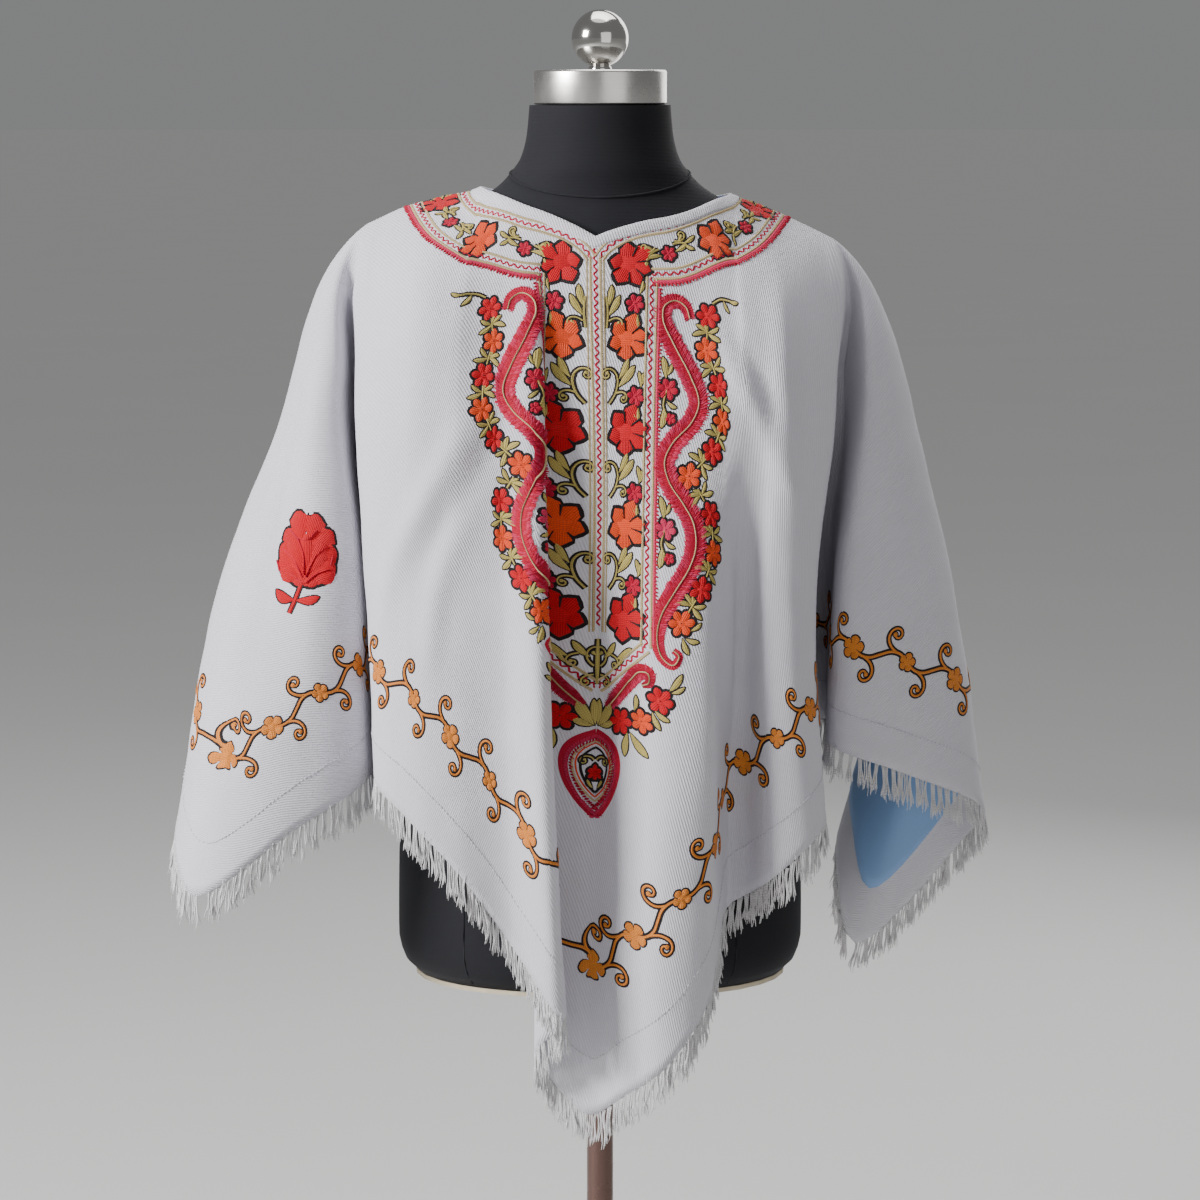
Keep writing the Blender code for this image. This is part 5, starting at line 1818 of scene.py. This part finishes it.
class PONCHO_OT_border_work(bpy.types.Operator):
    """Embroider the vine along the four hems and the rose on the wing"""

    bl_idname = "poncho.border_work"
    bl_label = "Make Border Embroidery"

    def execute(self, context):
        vine = Work(border_place)
        for side in range(4):
            vine.side = side
            border_vine(vine)
            corner_flower(vine)
        MADE["work"] += vine.finish("border_work", MADE["looks"], {})
        single = Work(rose_place)
        rose(single)
        MADE["work"] += single.finish("rose_work", MADE["looks"], {})
        return {"FINISHED"}


class PONCHO_OT_form(bpy.types.Operator):
    """Cover the dress form and lay its seams"""

    bl_idname = "poncho.form"
    bl_label = "Make Form"

    def execute(self, context):
        own = context.scene.dress_form
        cover = jersey_cover("black_jersey", colour_of(own.cover_colour))
        dressed(torso_object(), cover, "form_torso")
        for seam in seam_objects():
            dressed(seam, cover)
        board = frame["nodes"]["form_board"]
        board.data.materials.clear()
        board.data.materials.append(pale_board("pale_board", (0.55, 0.47, 0.34)))
        return {"FINISHED"}


class PONCHO_OT_stand(bpy.types.Operator):
    """Turn the cap, the ball, the pole and the base"""

    bl_idname = "poncho.stand"
    bl_label = "Make Stand"

    def execute(self, context):
        own = context.scene.dress_form
        chrome = metal("polished_chrome", colour_of(own.chrome_colour), 0.10, (0.03, 0.01))
        brushed = metal("brushed_chrome", colour_of(own.chrome_colour), 0.26, (0.10, 0.08))
        bronze = metal("bronze_lacquer", colour_of(own.bronze_colour), 0.24, (0.06, 0.03), 0.85)
        looks = {"neck_cap": brushed, "cap_ball": chrome}
        for node, profile in stand_profiles().items():
            made = turned_object("turned_" + node, profile, own.sides)
            dressed(made, looks.get(node, bronze), node)
        return {"FINISHED"}


class PONCHO_OT_stage(bpy.types.Operator):
    """Set the pale floor, the soft lights and the camera"""

    bl_idname = "poncho.stage"
    bl_label = "Make Stage"

    def execute(self, context):
        scene = context.scene
        mesh = bpy.data.meshes.new("floor")
        corners = [(x * FLOOR_REACH, y * FLOOR_REACH, 0) for x, y in ((-1, -1), (1, -1), (1, 1), (-1, 1))]
        mesh.from_pydata(corners, [], [(0, 1, 2, 3)])
        paint, tree, shader = nodes_of("pale_floor", FLOOR_COLOUR, 0.75)
        tinted(tree, shader, FLOOR_COLOUR, cloudy(tree, object_place(tree), 1.3), 0.97, 1.03)
        mesh.materials.append(paint)
        linked("floor", mesh)
        scene.world = world = bpy.data.worlds.new("studio")
        world.use_nodes = True
        sky = world.node_tree.nodes["Background"]
        sky.inputs["Color"].default_value = SKY_COLOUR
        # the camera sees a backdrop as bright as the far floor, so that no horizon shows
        seen = add_node(world.node_tree, "ShaderNodeLightPath").outputs["Is Camera Ray"]
        world.node_tree.links.new(ranged(world.node_tree, seen, SKY_LIGHT, SKY_SEEN), sky.inputs["Strength"])
        for name, place, size, power in LAMPS:
            lamp = bpy.data.lights.new(name, "AREA")
            lamp.energy = power
            lamp.size = size
            lamp_object = linked(name, lamp)
            lamp_object.location = place
            lamp_object.rotation_euler = (Vector(LAMPS_AIM) - Vector(place)).to_track_quat("-Z", "Y").to_euler()
        ceiling = bpy.data.lights.new("ceiling", "SUN")
        ceiling.energy = CEILING_POWER
        ceiling.angle = CEILING_SPREAD
        linked("ceiling", ceiling).location = (0, 0, 4)
        lens = bpy.data.cameras.new("camera")
        lens.lens = CAMERA_LENS
        lens.sensor_width = 36
        camera = linked("camera", lens)
        camera.location = CAMERA_PLACE
        camera.rotation_euler = (math.radians(90 - CAMERA_DIP), 0, 0)
        scene.camera = camera
        return {"FINISHED"}


class PONCHO_PT_panel(bpy.types.Panel):
    """The poncho's settings and steps"""

    bl_label = "Poncho"
    bl_idname = "PONCHO_PT_panel"
    bl_space_type = "VIEW_3D"
    bl_region_type = "UI"
    bl_category = "Poncho"

    def draw(self, context):
        for group in (context.scene.poncho, context.scene.threads, context.scene.dress_form):
            box = self.layout.box()
            for key in group.__annotations__:
                box.prop(group, key)
        for step in STEPS:
            self.layout.operator(step.bl_idname)


STEPS = (
    PONCHO_OT_stage,
    PONCHO_OT_cloth,
    PONCHO_OT_fringe,
    PONCHO_OT_stitches,
    PONCHO_OT_front_work,
    PONCHO_OT_border_work,
    PONCHO_OT_form,
    PONCHO_OT_stand,
)
CLASSES = (PonchoSettings, ThreadSettings, FormSettings, *STEPS, PONCHO_PT_panel)


def register():
    for entry in CLASSES:
        bpy.utils.register_class(entry)
    bpy.types.Scene.poncho = PointerProperty(type=PonchoSettings)
    bpy.types.Scene.threads = PointerProperty(type=ThreadSettings)
    bpy.types.Scene.dress_form = PointerProperty(type=FormSettings)


def unregister():
    del bpy.types.Scene.dress_form
    del bpy.types.Scene.threads
    del bpy.types.Scene.poncho
    for entry in reversed(CLASSES):
        bpy.utils.unregister_class(entry)


def main():
    register()
    for step in STEPS:
        group, action = step.bl_idname.split(".")
        getattr(getattr(bpy.ops, group), action)()


if __name__ == "__main__":
    main()
